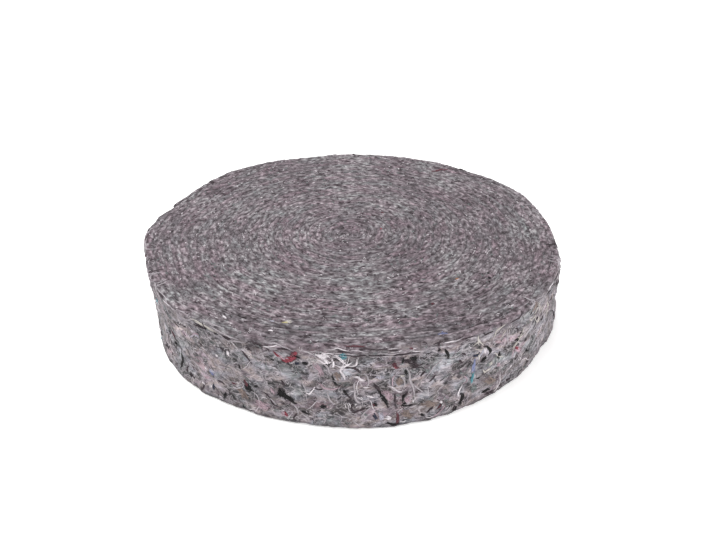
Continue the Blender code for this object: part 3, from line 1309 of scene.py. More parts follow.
# The threads and scraps that show from the front, from left to right. Angles in degrees, heights in mm.
CAUGHT = (
    Strand(Tint.DARK, 2.4, ((211.5, 11.2), (213.0, 9.6))),
    Strand(Tint.DARK_RED, 1.0, ((216.8, 28.5), (218.7, 24.2))),
    Strand(Tint.BLACK, 2.0, ((218.3, 21.7), (219.3, 20.8))),
    Strand(Tint.BLACK, 1.9, ((221.4, 20.6), (221.8, 16.3), (221.8, 11.5), (220.4, 6.2))),
    Strand(Tint.PALE, 1.3, ((222.4, 46.8), (225.2, 44.9), (228.3, 43.3))),
    Strand(Tint.DARK, 2.4, ((223.8, 11.3), (224.1, 7.6))),
    Strand(Tint.BLACK, 2.6, ((225.3, 8.3), (226.2, 7.3))),
    Strand(Tint.LILAC, 1.2, ((226.2, 32.9), (227.7, 36.6), (229.3, 38.3), (230.3, 36.6))),
    Strand(Tint.PINK, 0.9, ((226.4, 33.2), (228.0, 37.4), (229.5, 39.1), (230.4, 37.4))),
    Strand(Tint.CREAM, 1.4, ((226.7, 47.5), (230.9, 47.5), (234.9, 47.4), (238.2, 47.3))),
    Strand(Tint.WHITE, 1.6, ((230.1, 8.0), (231.2, 7.4))),
    Strand(Tint.WHITE, 1.2, ((231.2, 18.8), (232.0, 18.2))),
    Strand(Tint.DARK, 1.2, ((231.8, 48.8), (233.2, 45.9))),
    Strand(Tint.PALE, 1.6, ((232.5, 48.7), (236.2, 48.3), (240.0, 48.1), (243.6, 47.9))),
    Strand(Tint.LILAC, 1.9, ((232.7, 19.1), (235.0, 18.6))),
    Strand(Tint.BLUE, 2.2, ((233.0, 18.7), (234.6, 17.6))),
    Strand(Tint.WHITE, 1.2, ((233.1, 7.5), (233.8, 9.5))),
    Strand(Tint.NAVY, 2.4, ((234.0, 11.0), (234.1, 6.4))),
    Strand(Tint.DARK, 1.2, ((235.2, 14.1), (236.8, 15.0), (237.7, 13.6))),
    Strand(Tint.WHITE, 1.4, ((235.5, 31.6), (236.1, 30.8))),
    Strand(Tint.BLACK, 1.6, ((235.6, 46.2), (237.3, 46.5))),
    Strand(Tint.BLACK, 2.0, ((237.8, 8.3), (237.3, 3.7))),
    Strand(Tint.DARK, 1.8, ((238.9, 46.4), (241.3, 46.9))),
    Strand(Tint.WHITE, 2.4, ((239.2, 37.2), (239.8, 34.4))),
    Strand(Tint.DARK_RED, 1.3, ((239.9, 17.0), (241.3, 16.7))),
    Strand(Tint.BROWN, 4.6, ((242.1, 15.9), (243.1, 12.1), (243.6, 7.8))),
    Strand(Tint.BLACK, 1.4, ((242.4, 31.2), (242.6, 27.8))),
    Strand(Tint.BLACK, 1.4, ((242.7, 3.9), (243.2, 2.1))),
    Strand(Tint.DARK, 2.0, ((243.3, 20.8), (244.1, 17.9))),
    Strand(Tint.DARK, 1.0, ((243.8, 42.1), (245.4, 37.1), (246.3, 34.2))),
    Strand(Tint.BLACK, 3.8, ((243.9, 19.2), (244.5, 16.4), (245.1, 14.2))),
    Strand(Tint.DARK_RED, 2.6, ((243.2, 21.0), (244.0, 18.8), (244.5, 17.2))),
    Strand(Tint.PINK, 4.8, ((245.9, 8.2), (248.1, 7.7), (250.5, 7.4))),
    Strand(Tint.BLACK, 1.9, ((246.1, 18.8), (247.0, 19.1))),
    Strand(Tint.DARK, 1.0, ((247.9, 16.7), (249.8, 15.4), (251.3, 10.6), (253.8, 8.8))),
    Strand(Tint.PINK, 2.4, ((250.3, 20.1), (251.6, 17.0))),
    Strand(Tint.BLACK, 1.3, ((251.4, 40.2), (252.1, 40.5))),
    Strand(Tint.PINK, 2.2, ((252.5, 45.2), (253.6, 43.6), (254.9, 41.4))),
    Strand(Tint.BLACK, 5.0, ((252.2, 20.0), (253.1, 18.8), (254.0, 17.8))),
    Strand(Tint.BLACK, 2.8, ((252.4, 18.9), (253.6, 17.8), (254.8, 17.4))),
    Strand(Tint.BLACK, 3.8, ((252.6, 19.4), (253.4, 18.4), (254.2, 18.0))),
    Strand(Tint.BLACK, 3.2, ((253.6, 18.4), (254.6, 16.8), (255.6, 15.6))),
    Strand(Tint.BLACK, 2.6, ((252.7, 19.4), (254.0, 18.0), (255.3, 16.4))),
    Strand(Tint.DARK, 2.2, ((253.3, 27.1), (254.2, 24.1))),
    Strand(Tint.PINK, 3.0, ((253.3, 7.0), (254.8, 4.6))),
    Strand(Tint.RED, 1.2, ((252.0, 46.4), (252.9, 44.4), (254.0, 42.2), (255.2, 41.2))),
    Strand(Tint.RED, 2.8, ((253.9, 41.8), (255.4, 41.2), (256.6, 42.8), (257.3, 45.2))),
    Strand(Tint.RED, 2.8, ((254.6, 43.2), (255.8, 42.4), (256.8, 44.4))),
    Strand(Tint.RED, 2.6, ((256.4, 45.4), (257.6, 47.2))),
    Strand(Tint.RED, 1.6, ((253.8, 7.3), (254.8, 4.6))),
    Strand(Tint.BLACK, 2.8, ((254.0, 17.9), (255.2, 17.0), (255.9, 15.0), (257.1, 13.6))),
    Strand(Tint.PALE, 1.4, ((256.1, 13.6), (257.1, 9.6), (257.5, 6.0))),
    Strand(Tint.DARK_RED, 1.6, ((256.2, 45.0), (257.2, 47.6))),
    Strand(Tint.BLACK, 1.4, ((256.8, 45.1), (258.4, 43.1))),
    Strand(Tint.NAVY, 1.7, ((257.0, 40.0), (257.9, 40.1))),
    Strand(Tint.BLACK, 1.6, ((257.8, 9.3), (259.3, 8.5), (260.5, 7.6))),
    Strand(Tint.PALE, 1.2, ((258.3, 7.5), (259.5, 6.0), (260.4, 3.6))),
    Strand(Tint.BLACK, 2.6, ((258.6, 40.9), (260.0, 39.8))),
    Strand(Tint.WHITE, 0.9, ((259.1, 22.4), (260.0, 20.9), (261.0, 23.6), (261.5, 25.7))),
    Strand(Tint.PINK, 3.2, ((261.1, 41.2), (262.5, 37.0), (263.2, 31.4))),
    Strand(Tint.WHITE, 1.9, ((261.2, 47.6), (262.1, 46.0), (263.5, 45.5), (264.7, 45.7), (265.3, 43.9))),
    Strand(Tint.PALE, 1.2, ((261.2, 4.6), (262.4, 6.4), (263.8, 5.5), (263.5, 2.7))),
    Strand(Tint.PINK, 1.0, ((261.8, 29.5), (262.7, 27.7), (263.6, 25.6), (265.0, 24.5), (267.6, 26.2))),
    Strand(Tint.BLACK, 3.2, ((262.5, 14.2), (263.3, 14.2), (264.3, 14.3))),
    Strand(Tint.WHITE, 2.8, ((262.9, 43.6), (263.9, 42.4), (264.9, 40.4))),
    Strand(Tint.WHITE, 2.2, ((262.2, 45.2), (263.4, 44.4), (264.8, 44.6))),
    Strand(Tint.WHITE, 1.2, ((263.5, 47.4), (264.0, 45.6))),
    Strand(Tint.WHITE, 1.0, ((262.0, 43.2), (263.8, 41.0), (265.8, 41.6))),
    Strand(Tint.WHITE, 1.0, ((263.0, 46.8), (265.2, 47.2), (266.8, 46.4))),
    Strand(Tint.PALE, 1.0, ((262.6, 41.6), (264.4, 38.8), (264.8, 35.2), (265.6, 33.8))),
    Strand(Tint.WHITE, 1.0, ((266.2, 40.0), (267.6, 39.2), (269.2, 41.0), (270.4, 42.8))),
    Strand(Tint.PALE, 1.1, ((267.0, 47.4), (269.2, 47.8), (271.2, 47.0))),
    Strand(Tint.PALE, 1.0, ((269.2, 37.4), (270.2, 35.4), (271.4, 36.2))),
    Strand(Tint.PALE, 0.8, ((264.3, 22.3), (265.0, 18.0), (265.9, 15.8))),
    Strand(Tint.WHITE, 1.7, ((265.3, 43.9), (265.9, 40.8), (265.6, 38.2))),
    Strand(Tint.WHITE, 1.7, ((265.3, 43.9), (266.3, 45.6), (267.2, 44.8), (268.1, 42.4), (268.8, 40.5))),
    Strand(Tint.BLACK, 2.2, ((265.5, 34.3), (266.0, 30.6), (266.6, 26.1))),
    Strand(Tint.BROWN, 3.6, ((265.7, 34.8), (266.9, 33.1), (267.6, 30.5))),
    Strand(Tint.TEAL, 4.2, ((267.1, 45.6), (268.1, 46.2), (269.1, 45.7))),
    Strand(Tint.BLACK, 1.8, ((268.0, 24.2), (269.0, 21.2))),
    Strand(Tint.DARK, 1.8, ((268.1, 38.4), (269.7, 39.3), (271.1, 38.0), (272.2, 35.3))),
    Strand(Tint.WHITE, 1.6, ((268.3, 41.8), (267.8, 38.5), (267.4, 36.5), (268.2, 33.4), (268.7, 30.1))),
    Strand(Tint.WHITE, 1.0, ((268.8, 39.9), (269.9, 40.0), (271.1, 41.3), (271.3, 44.8))),
    Strand(Tint.DARK, 1.8, ((269.7, 10.6), (271.1, 11.6), (272.2, 12.7), (273.4, 13.7))),
    Strand(Tint.PALE, 1.2, ((270.3, 6.3), (271.5, 3.7), (272.2, 1.4))),
    Strand(Tint.WHITE, 1.6, ((270.4, 32.0), (271.5, 32.4), (272.2, 30.7), (273.4, 30.0))),
    Strand(
        Tint.PALE,
        1.1,
        ((270.9, 30.0), (270.6, 26.8), (270.7, 22.9), (270.8, 19.3), (271.3, 16.8), (272.2, 15.6)),
    ),
    Strand(Tint.PALE, 1.1, ((271.5, 16.2), (273.2, 17.3), (274.6, 17.7))),
    Strand(Tint.WHITE, 2.2, ((273.4, 20.5), (275.4, 19.5))),
    Strand(Tint.DARK, 2.2, ((274.8, 27.9), (275.7, 25.9), (276.7, 22.5))),
    Strand(Tint.DARK_RED, 2.0, ((274.8, 15.1), (275.7, 14.4))),
    Strand(Tint.PALE, 1.0, ((275.0, 33.3), (276.4, 33.2), (276.9, 29.8))),
    Strand(Tint.NAVY, 2.0, ((275.0, 10.1), (275.9, 5.7))),
    Strand(Tint.BLACK, 2.2, ((275.2, 15.4), (276.0, 14.3))),
    Strand(Tint.LILAC, 3.0, ((275.4, 33.3), (276.6, 31.8), (278.0, 32.2))),
    Strand(Tint.BLACK, 2.0, ((276.0, 25.9), (276.9, 20.6), (277.9, 16.8), (278.8, 12.9))),
    Strand(Tint.LILAC, 2.6, ((276.7, 10.9), (277.1, 5.3))),
    Strand(Tint.PINK, 4.2, ((277.4, 23.6), (278.6, 20.2), (279.5, 16.3))),
    Strand(Tint.WHITE, 2.9, ((277.8, 7.5), (279.3, 5.7))),
    Strand(Tint.BLACK, 1.4, ((277.8, 4.0), (279.8, 2.0), (281.5, 2.6))),
    Strand(Tint.WHITE, 1.2, ((278.3, 26.3), (279.5, 25.5), (280.7, 23.0), (281.9, 21.6))),
    Strand(Tint.DARK_RED, 2.8, ((279.4, 41.2), (280.0, 39.4), (280.8, 37.0))),
    Strand(Tint.RED, 1.6, ((279.7, 39.8), (280.5, 37.6))),
    Strand(Tint.DARK, 1.6, ((280.0, 21.3), (280.3, 15.5))),
    Strand(Tint.PINK, 1.0, ((280.3, 33.9), (279.6, 30.2), (279.7, 26.2))),
    Strand(Tint.BROWN, 4.0, ((280.4, 31.1), (281.8, 26.8))),
    Strand(Tint.DARK_RED, 2.3, ((280.5, 10.1), (280.9, 6.0), (280.7, 1.5))),
    Strand(Tint.PALE, 0.9, ((280.5, 33.7), (281.5, 32.2), (282.3, 29.3), (282.3, 25.3), (281.4, 23.7))),
    Strand(Tint.CREAM, 1.6, ((281.2, 32.5), (282.3, 31.8))),
    Strand(Tint.BROWN, 4.6, ((281.9, 9.4), (284.9, 4.4))),
    Strand(Tint.BLACK, 2.8, ((282.0, 14.6), (282.7, 13.4))),
    Strand(Tint.BLACK, 1.6, ((282.1, 43.8), (281.7, 40.3))),
    Strand(Tint.BLACK, 1.6, ((282.4, 36.3), (282.9, 32.3))),
    Strand(Tint.PALE, 1.2, ((282.6, 38.0), (283.4, 34.1), (283.7, 28.9), (284.5, 23.4), (284.8, 17.4))),
    Strand(Tint.BLACK, 1.2, ((282.6, 12.9), (283.4, 12.4), (284.4, 13.3))),
    Strand(Tint.PINK, 2.8, ((283.0, 18.6), (283.2, 15.0))),
    Strand(Tint.BLACK, 1.7, ((283.1, 21.2), (282.1, 18.3), (282.1, 14.4))),
    Strand(Tint.DARK_RED, 1.6, ((283.3, 49.0), (284.2, 48.2))),
    Strand(Tint.BLACK, 2.8, ((283.3, 43.4), (284.4, 42.0), (285.6, 41.6))),
    Strand(Tint.DARK, 2.8, ((281.2, 42.6), (283.0, 40.8), (285.4, 39.6))),
    Strand(Tint.DARK, 2.4, ((283.2, 38.4), (285.0, 36.8), (287.2, 37.4))),
    Strand(Tint.PALE, 1.0, ((284.2, 26.6), (285.7, 22.7), (287.2, 19.5))),
    Strand(Tint.DARK, 2.0, ((284.3, 40.5), (285.6, 35.1))),
    Strand(Tint.BROWN, 4.4, ((286.3, 13.4), (288.8, 10.9), (290.9, 8.3))),
    Strand(Tint.BLACK, 1.8, ((286.4, 6.0), (287.4, 4.6))),
    Strand(Tint.PINK, 1.0, ((289.5, 1.7), (291.4, 4.9), (293.0, 8.4))),
    Strand(Tint.BLACK, 1.7, ((290.5, 45.5), (290.6, 44.2))),
    Strand(Tint.DARK_RED, 1.8, ((290.5, 6.6), (291.7, 9.9))),
    Strand(Tint.DARK, 1.4, ((290.7, 6.7), (292.1, 9.8))),
    Strand(Tint.DARK, 1.4, ((290.9, 51.1), (290.3, 48.3), (290.7, 44.6))),
    Strand(Tint.WHITE, 1.6, ((291.3, 11.6), (291.9, 10.3))),
    Strand(Tint.BLACK, 1.7, ((292.0, 44.7), (292.6, 41.9), (293.1, 39.1))),
    Strand(Tint.PALE, 1.1, ((292.1, 37.9), (290.4, 36.1), (289.0, 33.0), (287.8, 29.1), (287.3, 27.4))),
    Strand(Tint.BLACK, 2.0, ((292.9, 39.6), (293.1, 38.0))),
    Strand(Tint.BLACK, 3.6, ((296.0, 4.4), (295.4, 1.8))),
    Strand(Tint.BLACK, 2.3, ((296.7, 6.8), (297.3, 4.8))),
    Strand(Tint.BLACK, 2.6, ((297.1, 13.7), (297.5, 10.1), (297.1, 5.5))),
    Strand(Tint.WHITE, 1.2, ((297.2, 18.6), (296.4, 15.9), (296.0, 12.1), (297.4, 10.7))),
    Strand(Tint.PINK, 1.0, ((297.3, 24.6), (298.5, 20.3), (297.2, 18.6))),
    Strand(Tint.NAVY, 2.0, ((299.6, 35.4), (300.8, 35.0), (301.6, 36.3))),
    Strand(Tint.SLATE, 4.6, ((299.9, 16.3), (301.5, 9.0))),
    Strand(Tint.TEAL, 2.2, ((300.2, 24.5), (299.9, 21.0), (299.8, 17.1))),
    Strand(Tint.BLUE, 2.6, ((300.3, 32.8), (300.2, 28.2), (300.2, 23.5))),
    Strand(Tint.BLACK, 1.5, ((301.0, 19.3), (302.6, 18.2))),
    Strand(Tint.BLACK, 1.7, ((302.4, 39.3), (303.6, 38.2), (304.8, 34.2), (304.6, 31.0))),
    Strand(Tint.WHITE, 2.8, ((302.8, 37.8), (303.2, 36.0), (303.2, 33.8))),
    Strand(Tint.LILAC, 1.6, ((303.2, 38.4), (302.0, 34.1), (301.0, 30.9))),
    Strand(Tint.BLACK, 2.2, ((303.6, 6.7), (305.3, 5.9), (307.2, 5.4))),
    Strand(Tint.BROWN, 4.6, ((303.8, 18.0), (306.3, 11.7), (308.9, 7.8))),
    Strand(Tint.SLATE, 2.9, ((304.1, 26.8), (305.3, 25.0))),
    Strand(Tint.BLACK, 2.2, ((304.3, 31.3), (303.2, 30.3), (302.0, 29.6))),
    Strand(Tint.CREAM, 3.2, ((304.4, 24.4), (305.8, 26.5))),
    Strand(Tint.DARK, 2.0, ((304.7, 4.3), (307.0, 2.8), (309.0, 2.6))),
    Strand(Tint.CREAM, 1.4, ((306.1, 22.8), (305.1, 21.7), (303.8, 21.0), (303.1, 23.7))),
    Strand(Tint.BLACK, 3.0, ((307.4, 30.6), (307.9, 27.8), (308.2, 24.9))),
    Strand(Tint.BLACK, 2.4, ((307.8, 31.4), (308.0, 28.6), (308.0, 25.6))),
    Strand(Tint.PINK, 2.4, ((307.7, 22.5), (309.4, 19.3))),
    Strand(Tint.PALE, 1.2, ((309.3, 45.6), (310.2, 38.0), (311.2, 31.3))),
    Strand(Tint.DARK, 1.6, ((312.4, 3.7), (314.8, 3.8))),
    Strand(Tint.WHITE, 1.8, ((312.9, 13.5), (313.8, 15.3))),
    Strand(Tint.BLACK, 2.0, ((313.1, 32.5), (313.8, 33.4), (315.6, 29.6))),
    Strand(Tint.PINK, 1.1, ((313.7, 26.3), (313.6, 20.1))),
    Strand(Tint.PINK, 3.6, ((313.8, 26.9), (316.4, 22.2), (317.9, 21.0))),
    Strand(Tint.RED, 2.0, ((314.2, 27.6), (315.4, 25.0), (316.4, 23.2))),
    Strand(Tint.CREAM, 1.0, ((316.6, 39.7), (315.2, 32.9), (313.1, 24.9))),
    Strand(Tint.BLACK, 1.8, ((319.9, 17.8), (321.7, 15.4))),
    Strand(Tint.PALE, 1.0, ((320.6, 40.2), (319.0, 34.5), (317.5, 28.0))),
    Strand(Tint.BROWN, 3.0, ((321.7, 49.9), (319.2, 45.4))),
    Strand(Tint.PALE, 1.0, ((325.0, 39.5), (324.0, 32.3), (321.4, 26.5))),
    Strand(Tint.DARK, 1.5, ((329.3, 31.2), (326.9, 28.6))),
    Strand(Tint.CREAM, 1.4, ((331.1, 38.6), (332.1, 31.7), (331.8, 25.1))),
    Strand(Tint.PALE, 1.1, ((331.4, 20.1), (331.1, 12.1), (332.0, 7.1))),
    Strand(Tint.PALE, 1.1, ((335.4, 24.6), (331.9, 19.9), (329.0, 15.2), (325.8, 12.2))),
    Strand(Tint.DARK, 1.4, ((338.9, 24.0), (344.4, 7.6))),
)


@dataclass(frozen=True)
class TopScrap:
    """A coloured scrap on the upper face: its colour, its width, and its route by angle and radius."""

    tint: Tint
    width_mm: float
    route: tuple[tuple[float, float], ...]


TOP_SCRAPS = (
    TopScrap(Tint.BLUE, 3.0, ((291.2, 123.4), (293.6, 124.8))),
    TopScrap(Tint.YELLOW, 2.0, ((250.2, 109.6), (252.0, 108.9))),
    TopScrap(Tint.CREAM, 2.2, ((250.6, 108.4), (252.9, 107.8))),
    TopScrap(Tint.LILAC, 1.8, ((246.8, 111.0), (248.2, 110.5))),
    TopScrap(Tint.WHITE, 1.6, ((248.6, 119.3), (249.9, 119.0))),
    TopScrap(Tint.WHITE, 1.8, ((234.0, 118.2), (236.2, 120.0))),
    TopScrap(Tint.DARK_RED, 1.6, ((296.8, 97.0), (298.0, 96.8))),
    TopScrap(Tint.DARK_RED, 1.6, ((56.4, 34.5), (52.6, 35.0))),
    TopScrap(Tint.RED, 1.5, ((14.5, 18.5), (11.4, 19.5))),
    TopScrap(Tint.ORANGE, 1.6, ((315.6, 84.5), (317.0, 84.0))),
    TopScrap(Tint.BLACK, 1.4, ((327.6, 94.4), (326.6, 95.8))),
    TopScrap(Tint.BLACK, 2.0, ((325.0, 97.4), (324.0, 98.2))),
    TopScrap(Tint.BLACK, 1.4, ((322.8, 99.4), (322.0, 101.0))),
    TopScrap(Tint.DARK, 1.8, ((323.6, 95.6), (321.8, 96.0))),
    TopScrap(Tint.DARK_RED, 1.8, ((59.2, 112.0), (56.5, 119.0), (53.9, 125.0))),
    TopScrap(Tint.DARK, 1.8, ((263.7, 125.7), (265.3, 125.8), (266.9, 126.1))),
    TopScrap(Tint.DARK_RED, 1.5, ((268.3, 126.0), (270.8, 126.4), (273.4, 126.9))),
)


@dataclass(frozen=True)
class ThreadSort:
    """Loose threads of one colour: their number, width, lengths and part of the wall."""

    tint: Tint
    count: int
    width_mm: float
    length_mm: tuple[float, float]
    angles_deg: tuple[float, float] = (0.0, 360.0)
    heights_mm: tuple[float, float] = (2.0, 48.0)
    stray_deg: float = 180.0


# The sides and the back have their own coloured bits, since the placed ones are all in front.
BEHIND = (-20.0, 210.0)
LOOSE = (
    ThreadSort(Tint.WHITE, 40, 0.45, (6, 20)),
    ThreadSort(Tint.WHITE, 30, 0.8, (4, 16), BEHIND),
    ThreadSort(Tint.PALE, 90, 0.55, (5, 17)),
    ThreadSort(Tint.PALE, 60, 0.9, (4, 12)),
    ThreadSort(Tint.PINK, 26, 2.0, (3, 9), BEHIND),
    ThreadSort(Tint.BLACK, 34, 1.5, (2, 6), BEHIND),
    ThreadSort(Tint.DARK, 60, 1.3, (2, 7)),
    ThreadSort(Tint.NAVY, 10, 1.4, (2, 6), BEHIND),
    ThreadSort(Tint.TEAL, 4, 1.4, (2, 5), BEHIND),
    ThreadSort(Tint.BLUE, 5, 1.3, (3, 7), BEHIND),
    ThreadSort(Tint.RED, 5, 1.6, (3, 7), BEHIND),
    ThreadSort(Tint.DARK_RED, 12, 1.5, (3, 7), BEHIND),
    ThreadSort(Tint.BROWN, 14, 2.6, (3, 8), BEHIND),
    ThreadSort(Tint.CREAM, 12, 1.0, (4, 14), BEHIND),
    ThreadSort(Tint.CREAM, 18, 0.8, (4, 12), (298.0, 335.0), (24.0, 49.0)),
    ThreadSort(Tint.LILAC, 8, 1.6, (4, 9), BEHIND),
    ThreadSort(Tint.YELLOW, 2, 1.4, (2, 4), BEHIND),
    ThreadSort(Tint.ORANGE, 2, 1.4, (2, 4), BEHIND),
    ThreadSort(Tint.PALE, 90, 0.8, (5, 20), heights_mm=(45.0, 50.4), stray_deg=7.0),
    ThreadSort(Tint.WHITE, 40, 0.7, (3, 12), heights_mm=(45.0, 50.4), stray_deg=8.0),
    ThreadSort(Tint.DARK, 60, 0.9, (3, 12), heights_mm=(45.0, 50.4), stray_deg=8.0),
)


@dataclass(frozen=True)
class CaughtThreads:
    """The threads and scraps caught in the felt, in one joined mesh for each colour."""

    surface: RollSurface
    seed: int = 29
    step_mm: float = 0.9
    ply_mm: float = 0.5
    plies_per_width: float = 2.6
    patch_mm: float = 2.9
    patch_share: float = 0.85
    lift_mm: float = 0.12
    single_mm: float = 0.75
    curl_kept: float = 0.8
    curl_change: float = 0.09
    straight_change: float = 0.02
    first_curl: float = 0.06
    kink_chance: float = 0.06
    kink_turn: float = 0.9

    def smooth(self, route: Sequence[tuple[float, float]], reach: float) -> list[tuple[float, float]]:
        """Puts points along a rounded curve through a route.

        Args:
            route: angles in degrees and heights or radii in mm.
            reach: the radius that turns an angle into a distance, in mm.

        Returns:
            The points, a step apart.
        """
        spots = [Vector((math.radians(angle) * reach, other)) for angle, other in route]
        spots = [spots[0] * 2 - spots[1], *spots, spots[-1] * 2 - spots[-2]]
        curve = []
        for a, b, c, d in zip(spots, spots[1:], spots[2:], spots[3:]):
            count = max(2, round((c - b).length / self.step_mm))
            for number in range(count):
                t = number / count
                square = (a * 2 - b * 5 + c * 4 - d) * t * t
                cube = (b * 3 - a - c * 3 + d) * t**3
                bend = (c - a) * t + square + cube
                curve.append(b + bend / 2)
        curve.append(spots[-2])
        return [(spot.x / reach, spot.y) for spot in curve]

    def ply(
        self,
        curve: list[tuple[float, float]],
        reach: float,
        put: Callable[[float, float], tuple[Vector, Vector]],
        spread_mm: float,
        radius_mm: float,
        dice: random.Random,
    ) -> list[tuple[Vector, float]]:
        """Lays one ply of a thread beside its route.

        Args:
            curve: the route's points, angle in radians and height or radius in mm.
            reach: the radius that turns an angle into a distance, in mm.
            put: turns an angle and a height or radius, in metres, into a place and its direction.
            spread_mm: how far from the route the ply may stray.
            radius_mm: the ply's radius.
            dice: the source of chance.

        Returns:
            The ply's points and its radius at each.
        """
        swing = dice.uniform(-1, 1)
        slant = dice.uniform(-0.5, 0.5)
        turn = dice.uniform(0.5, 2.0)
        phase = dice.uniform(0, math.tau)
        dives = dice.uniform(0, math.tau)
        ragged = min(int(len(curve) * min(0.4, spread_mm * 0.35)), (len(curve) - 2) // 2)
        kept = curve[dice.randint(0, ragged) : len(curve) - dice.randint(0, ragged)]
        tip = max(0.2, 1.1 - 0.2 * len(kept))
        laid = []
        for number, (angle, other) in enumerate(kept):
            t = number / max(len(kept) - 1, 1)
            sway = 0.35 * math.sin(math.tau * turn * t + phase) + slant * (t - 0.5)
            aside = spread_mm * (0.7 * swing + sway)
            before, after = kept[max(number - 1, 0)], kept[min(number + 1, len(kept) - 1)]
            way = Vector(((after[0] - before[0]) * reach, after[1] - before[1])).normalized()
            place, normal = put(angle - way.y * aside / reach, (other + way.x * aside) * MM)
            taper = min(1.0, 3 * t + tip, 3 * (1 - t) + tip)
            dive = 0.25 + 0.55 * math.sin(dives + number * 0.9) + dice.uniform(-0.15, 0.15)
            lift = (radius_mm * dive + self.lift_mm) * taper
            radius = radius_mm * taper * dice.uniform(0.8, 1.15) * MM
            laid.append((place + normal * (lift * MM), radius))
        return laid

    def twist(
        self,
        curve: list[tuple[float, float]],
        reach: float,
        put: Callable[[float, float], tuple[Vector, Vector]],
        width_mm: float,
        dice: random.Random,
    ) -> list[list[tuple[Vector, float]]]:
        """Lays enough plies along a route to make a loose thread or scrap of this width.

        Args:
            curve: the route's points.
            reach: the radius that turns an angle into a distance, in mm.
            put: turns an angle and a height or radius, in metres, into a place and its direction.
            width_mm: the thread's width.
            dice: the source of chance.

        Returns:
            The plies.
        """
        density = self.plies_per_width * (self.patch_share if width_mm > self.patch_mm else 1.0)
        count = 1 if width_mm < self.single_mm else round(width_mm * density / self.ply_mm)
        radius = min(width_mm, self.ply_mm) / 2
        spread = max(width_mm / 2 - radius / 2, 0.1)
        plies = []
        for _ in range(count):
            own_radius = radius * dice.uniform(0.6, 1.2)
            plies.append(self.ply(curve, reach, put, spread, own_radius, dice))
        return plies

    def wander(self, sort: ThreadSort, dice: random.Random) -> list[tuple[float, float]]:
        """Draws the curling route of a loose thread on the wall.

        Args:
            sort: the thread's lengths and the part of the wall that it lies on.
            dice: the source of chance.

        Returns:
            The route's points, angle in radians and height in mm.
        """
        reach = self.surface.form.full_reach / MM
        low, high = sort.heights_mm
        spot = Vector((math.radians(dice.uniform(*sort.angles_deg)) * reach, dice.uniform(low, high)))
        heading = math.radians(dice.uniform(-sort.stray_deg, sort.stray_deg))
        straight = sort.stray_deg < 90
        curl = 0.0 if straight else dice.gauss(0, self.first_curl)
        change = self.straight_change if straight else self.curl_change
        curve = [(spot.x / reach, spot.y)]
        for _ in range(round(dice.uniform(*sort.length_mm) / self.step_mm)):
            curl = self.curl_kept * curl + dice.gauss(0, change)
            kink = dice.random() < self.kink_chance and not straight
            heading += curl + (dice.gauss(0, self.kink_turn) if kink else 0.0)
            if not low - 0.5 < spot.y + 2 * math.sin(heading) < high + 0.5:
                heading = -heading
            spot += Vector((math.cos(heading), math.sin(heading))) * self.step_mm
            curve.append((spot.x / reach, spot.y))
        return curve

    def build(self, tint: Tint) -> bpy.types.Object | None:
        """Lays all threads and scraps of one colour and joins them.

        Args:
            tint: the colour.

        Returns:
            The joined piece, in the scene, or None where the felt has no such thread.
        """
        dice = random.Random(self.seed + len(tint.name) + sum(map(ord, tint.name)))
        reach = self.surface.form.full_reach / MM
        plies = []
        for strand in (strand for strand in CAUGHT if strand.tint is tint):
            curve = self.smooth(strand.route, reach)
            plies += self.twist(curve, reach, self.surface.on_wall, strand.width_mm, dice)
        for scrap in (scrap for scrap in TOP_SCRAPS if scrap.tint is tint):
            curve = self.smooth(scrap.route, scrap.route[0][1])
            plies += self.twist(curve, scrap.route[0][1], self.surface.on_top, scrap.width_mm, dice)
        for sort in (sort for sort in LOOSE if sort.tint is tint):
            for _ in range(sort.count):
                curve = self.wander(sort, dice)
                plies += self.twist(curve, reach, self.surface.on_wall, sort.width_mm, dice)
        if not plies:
            return None
        piece = self.draw(tint.name.lower() + "_threads", plies, dice)
        return settle(piece, TornFibre(tint).make())

    @staticmethod
    def draw(
        name: str, plies: list[list[tuple[Vector, float]]], dice: random.Random
    ) -> bpy.types.Object:
        """Draws plies as one bevelled curve and makes it a closed mesh.

        Args:
            name: the piece's name.
            plies: each ply's points and its radius at each.
            dice: the source of chance, for each ply's shade.

        Returns:
            The joined piece, not yet in the scene.
        """
        lines = bpy.data.curves.new(name, "CURVE")
        lines.dimensions = "3D"
        lines.bevel_depth = 1.0
        lines.bevel_resolution = 0
        for ply in plies:
            spline = lines.splines.new("POLY")
            spline.points.add(len(ply) - 1)
            for point, (place, radius) in zip(spline.points, ply):
                point.co = (*place, 1.0)
                point.radius = radius
        drawn = bpy.data.objects.new(name + "_route", lines)
        bpy.context.scene.collection.objects.link(drawn)
        ready = drawn.evaluated_get(bpy.context.evaluated_depsgraph_get())
        mesh = bpy.data.meshes.new_from_object(ready)
        mesh.materials.clear()
        bpy.data.objects.remove(drawn, do_unlink=True)
        bpy.data.curves.remove(lines)
        # A ply is four-sided, so each of its points became four of the mesh's
        shades = np.repeat([dice.random() for _ in plies], [4 * len(ply) for ply in plies])
        mesh.attributes.new("shade", "FLOAT", "POINT").data.foreach_set("value", shades)
        bm = bmesh.new()
        bm.from_mesh(mesh)
        bpy.data.meshes.remove(mesh)
        bmesh.ops.holes_fill(bm, edges=[edge for edge in bm.edges if edge.is_boundary], sides=4)
        bmesh.ops.recalc_face_normals(bm, faces=bm.faces)
        return finish_mesh(bm, name, THREAD_SHARP_ANGLE)


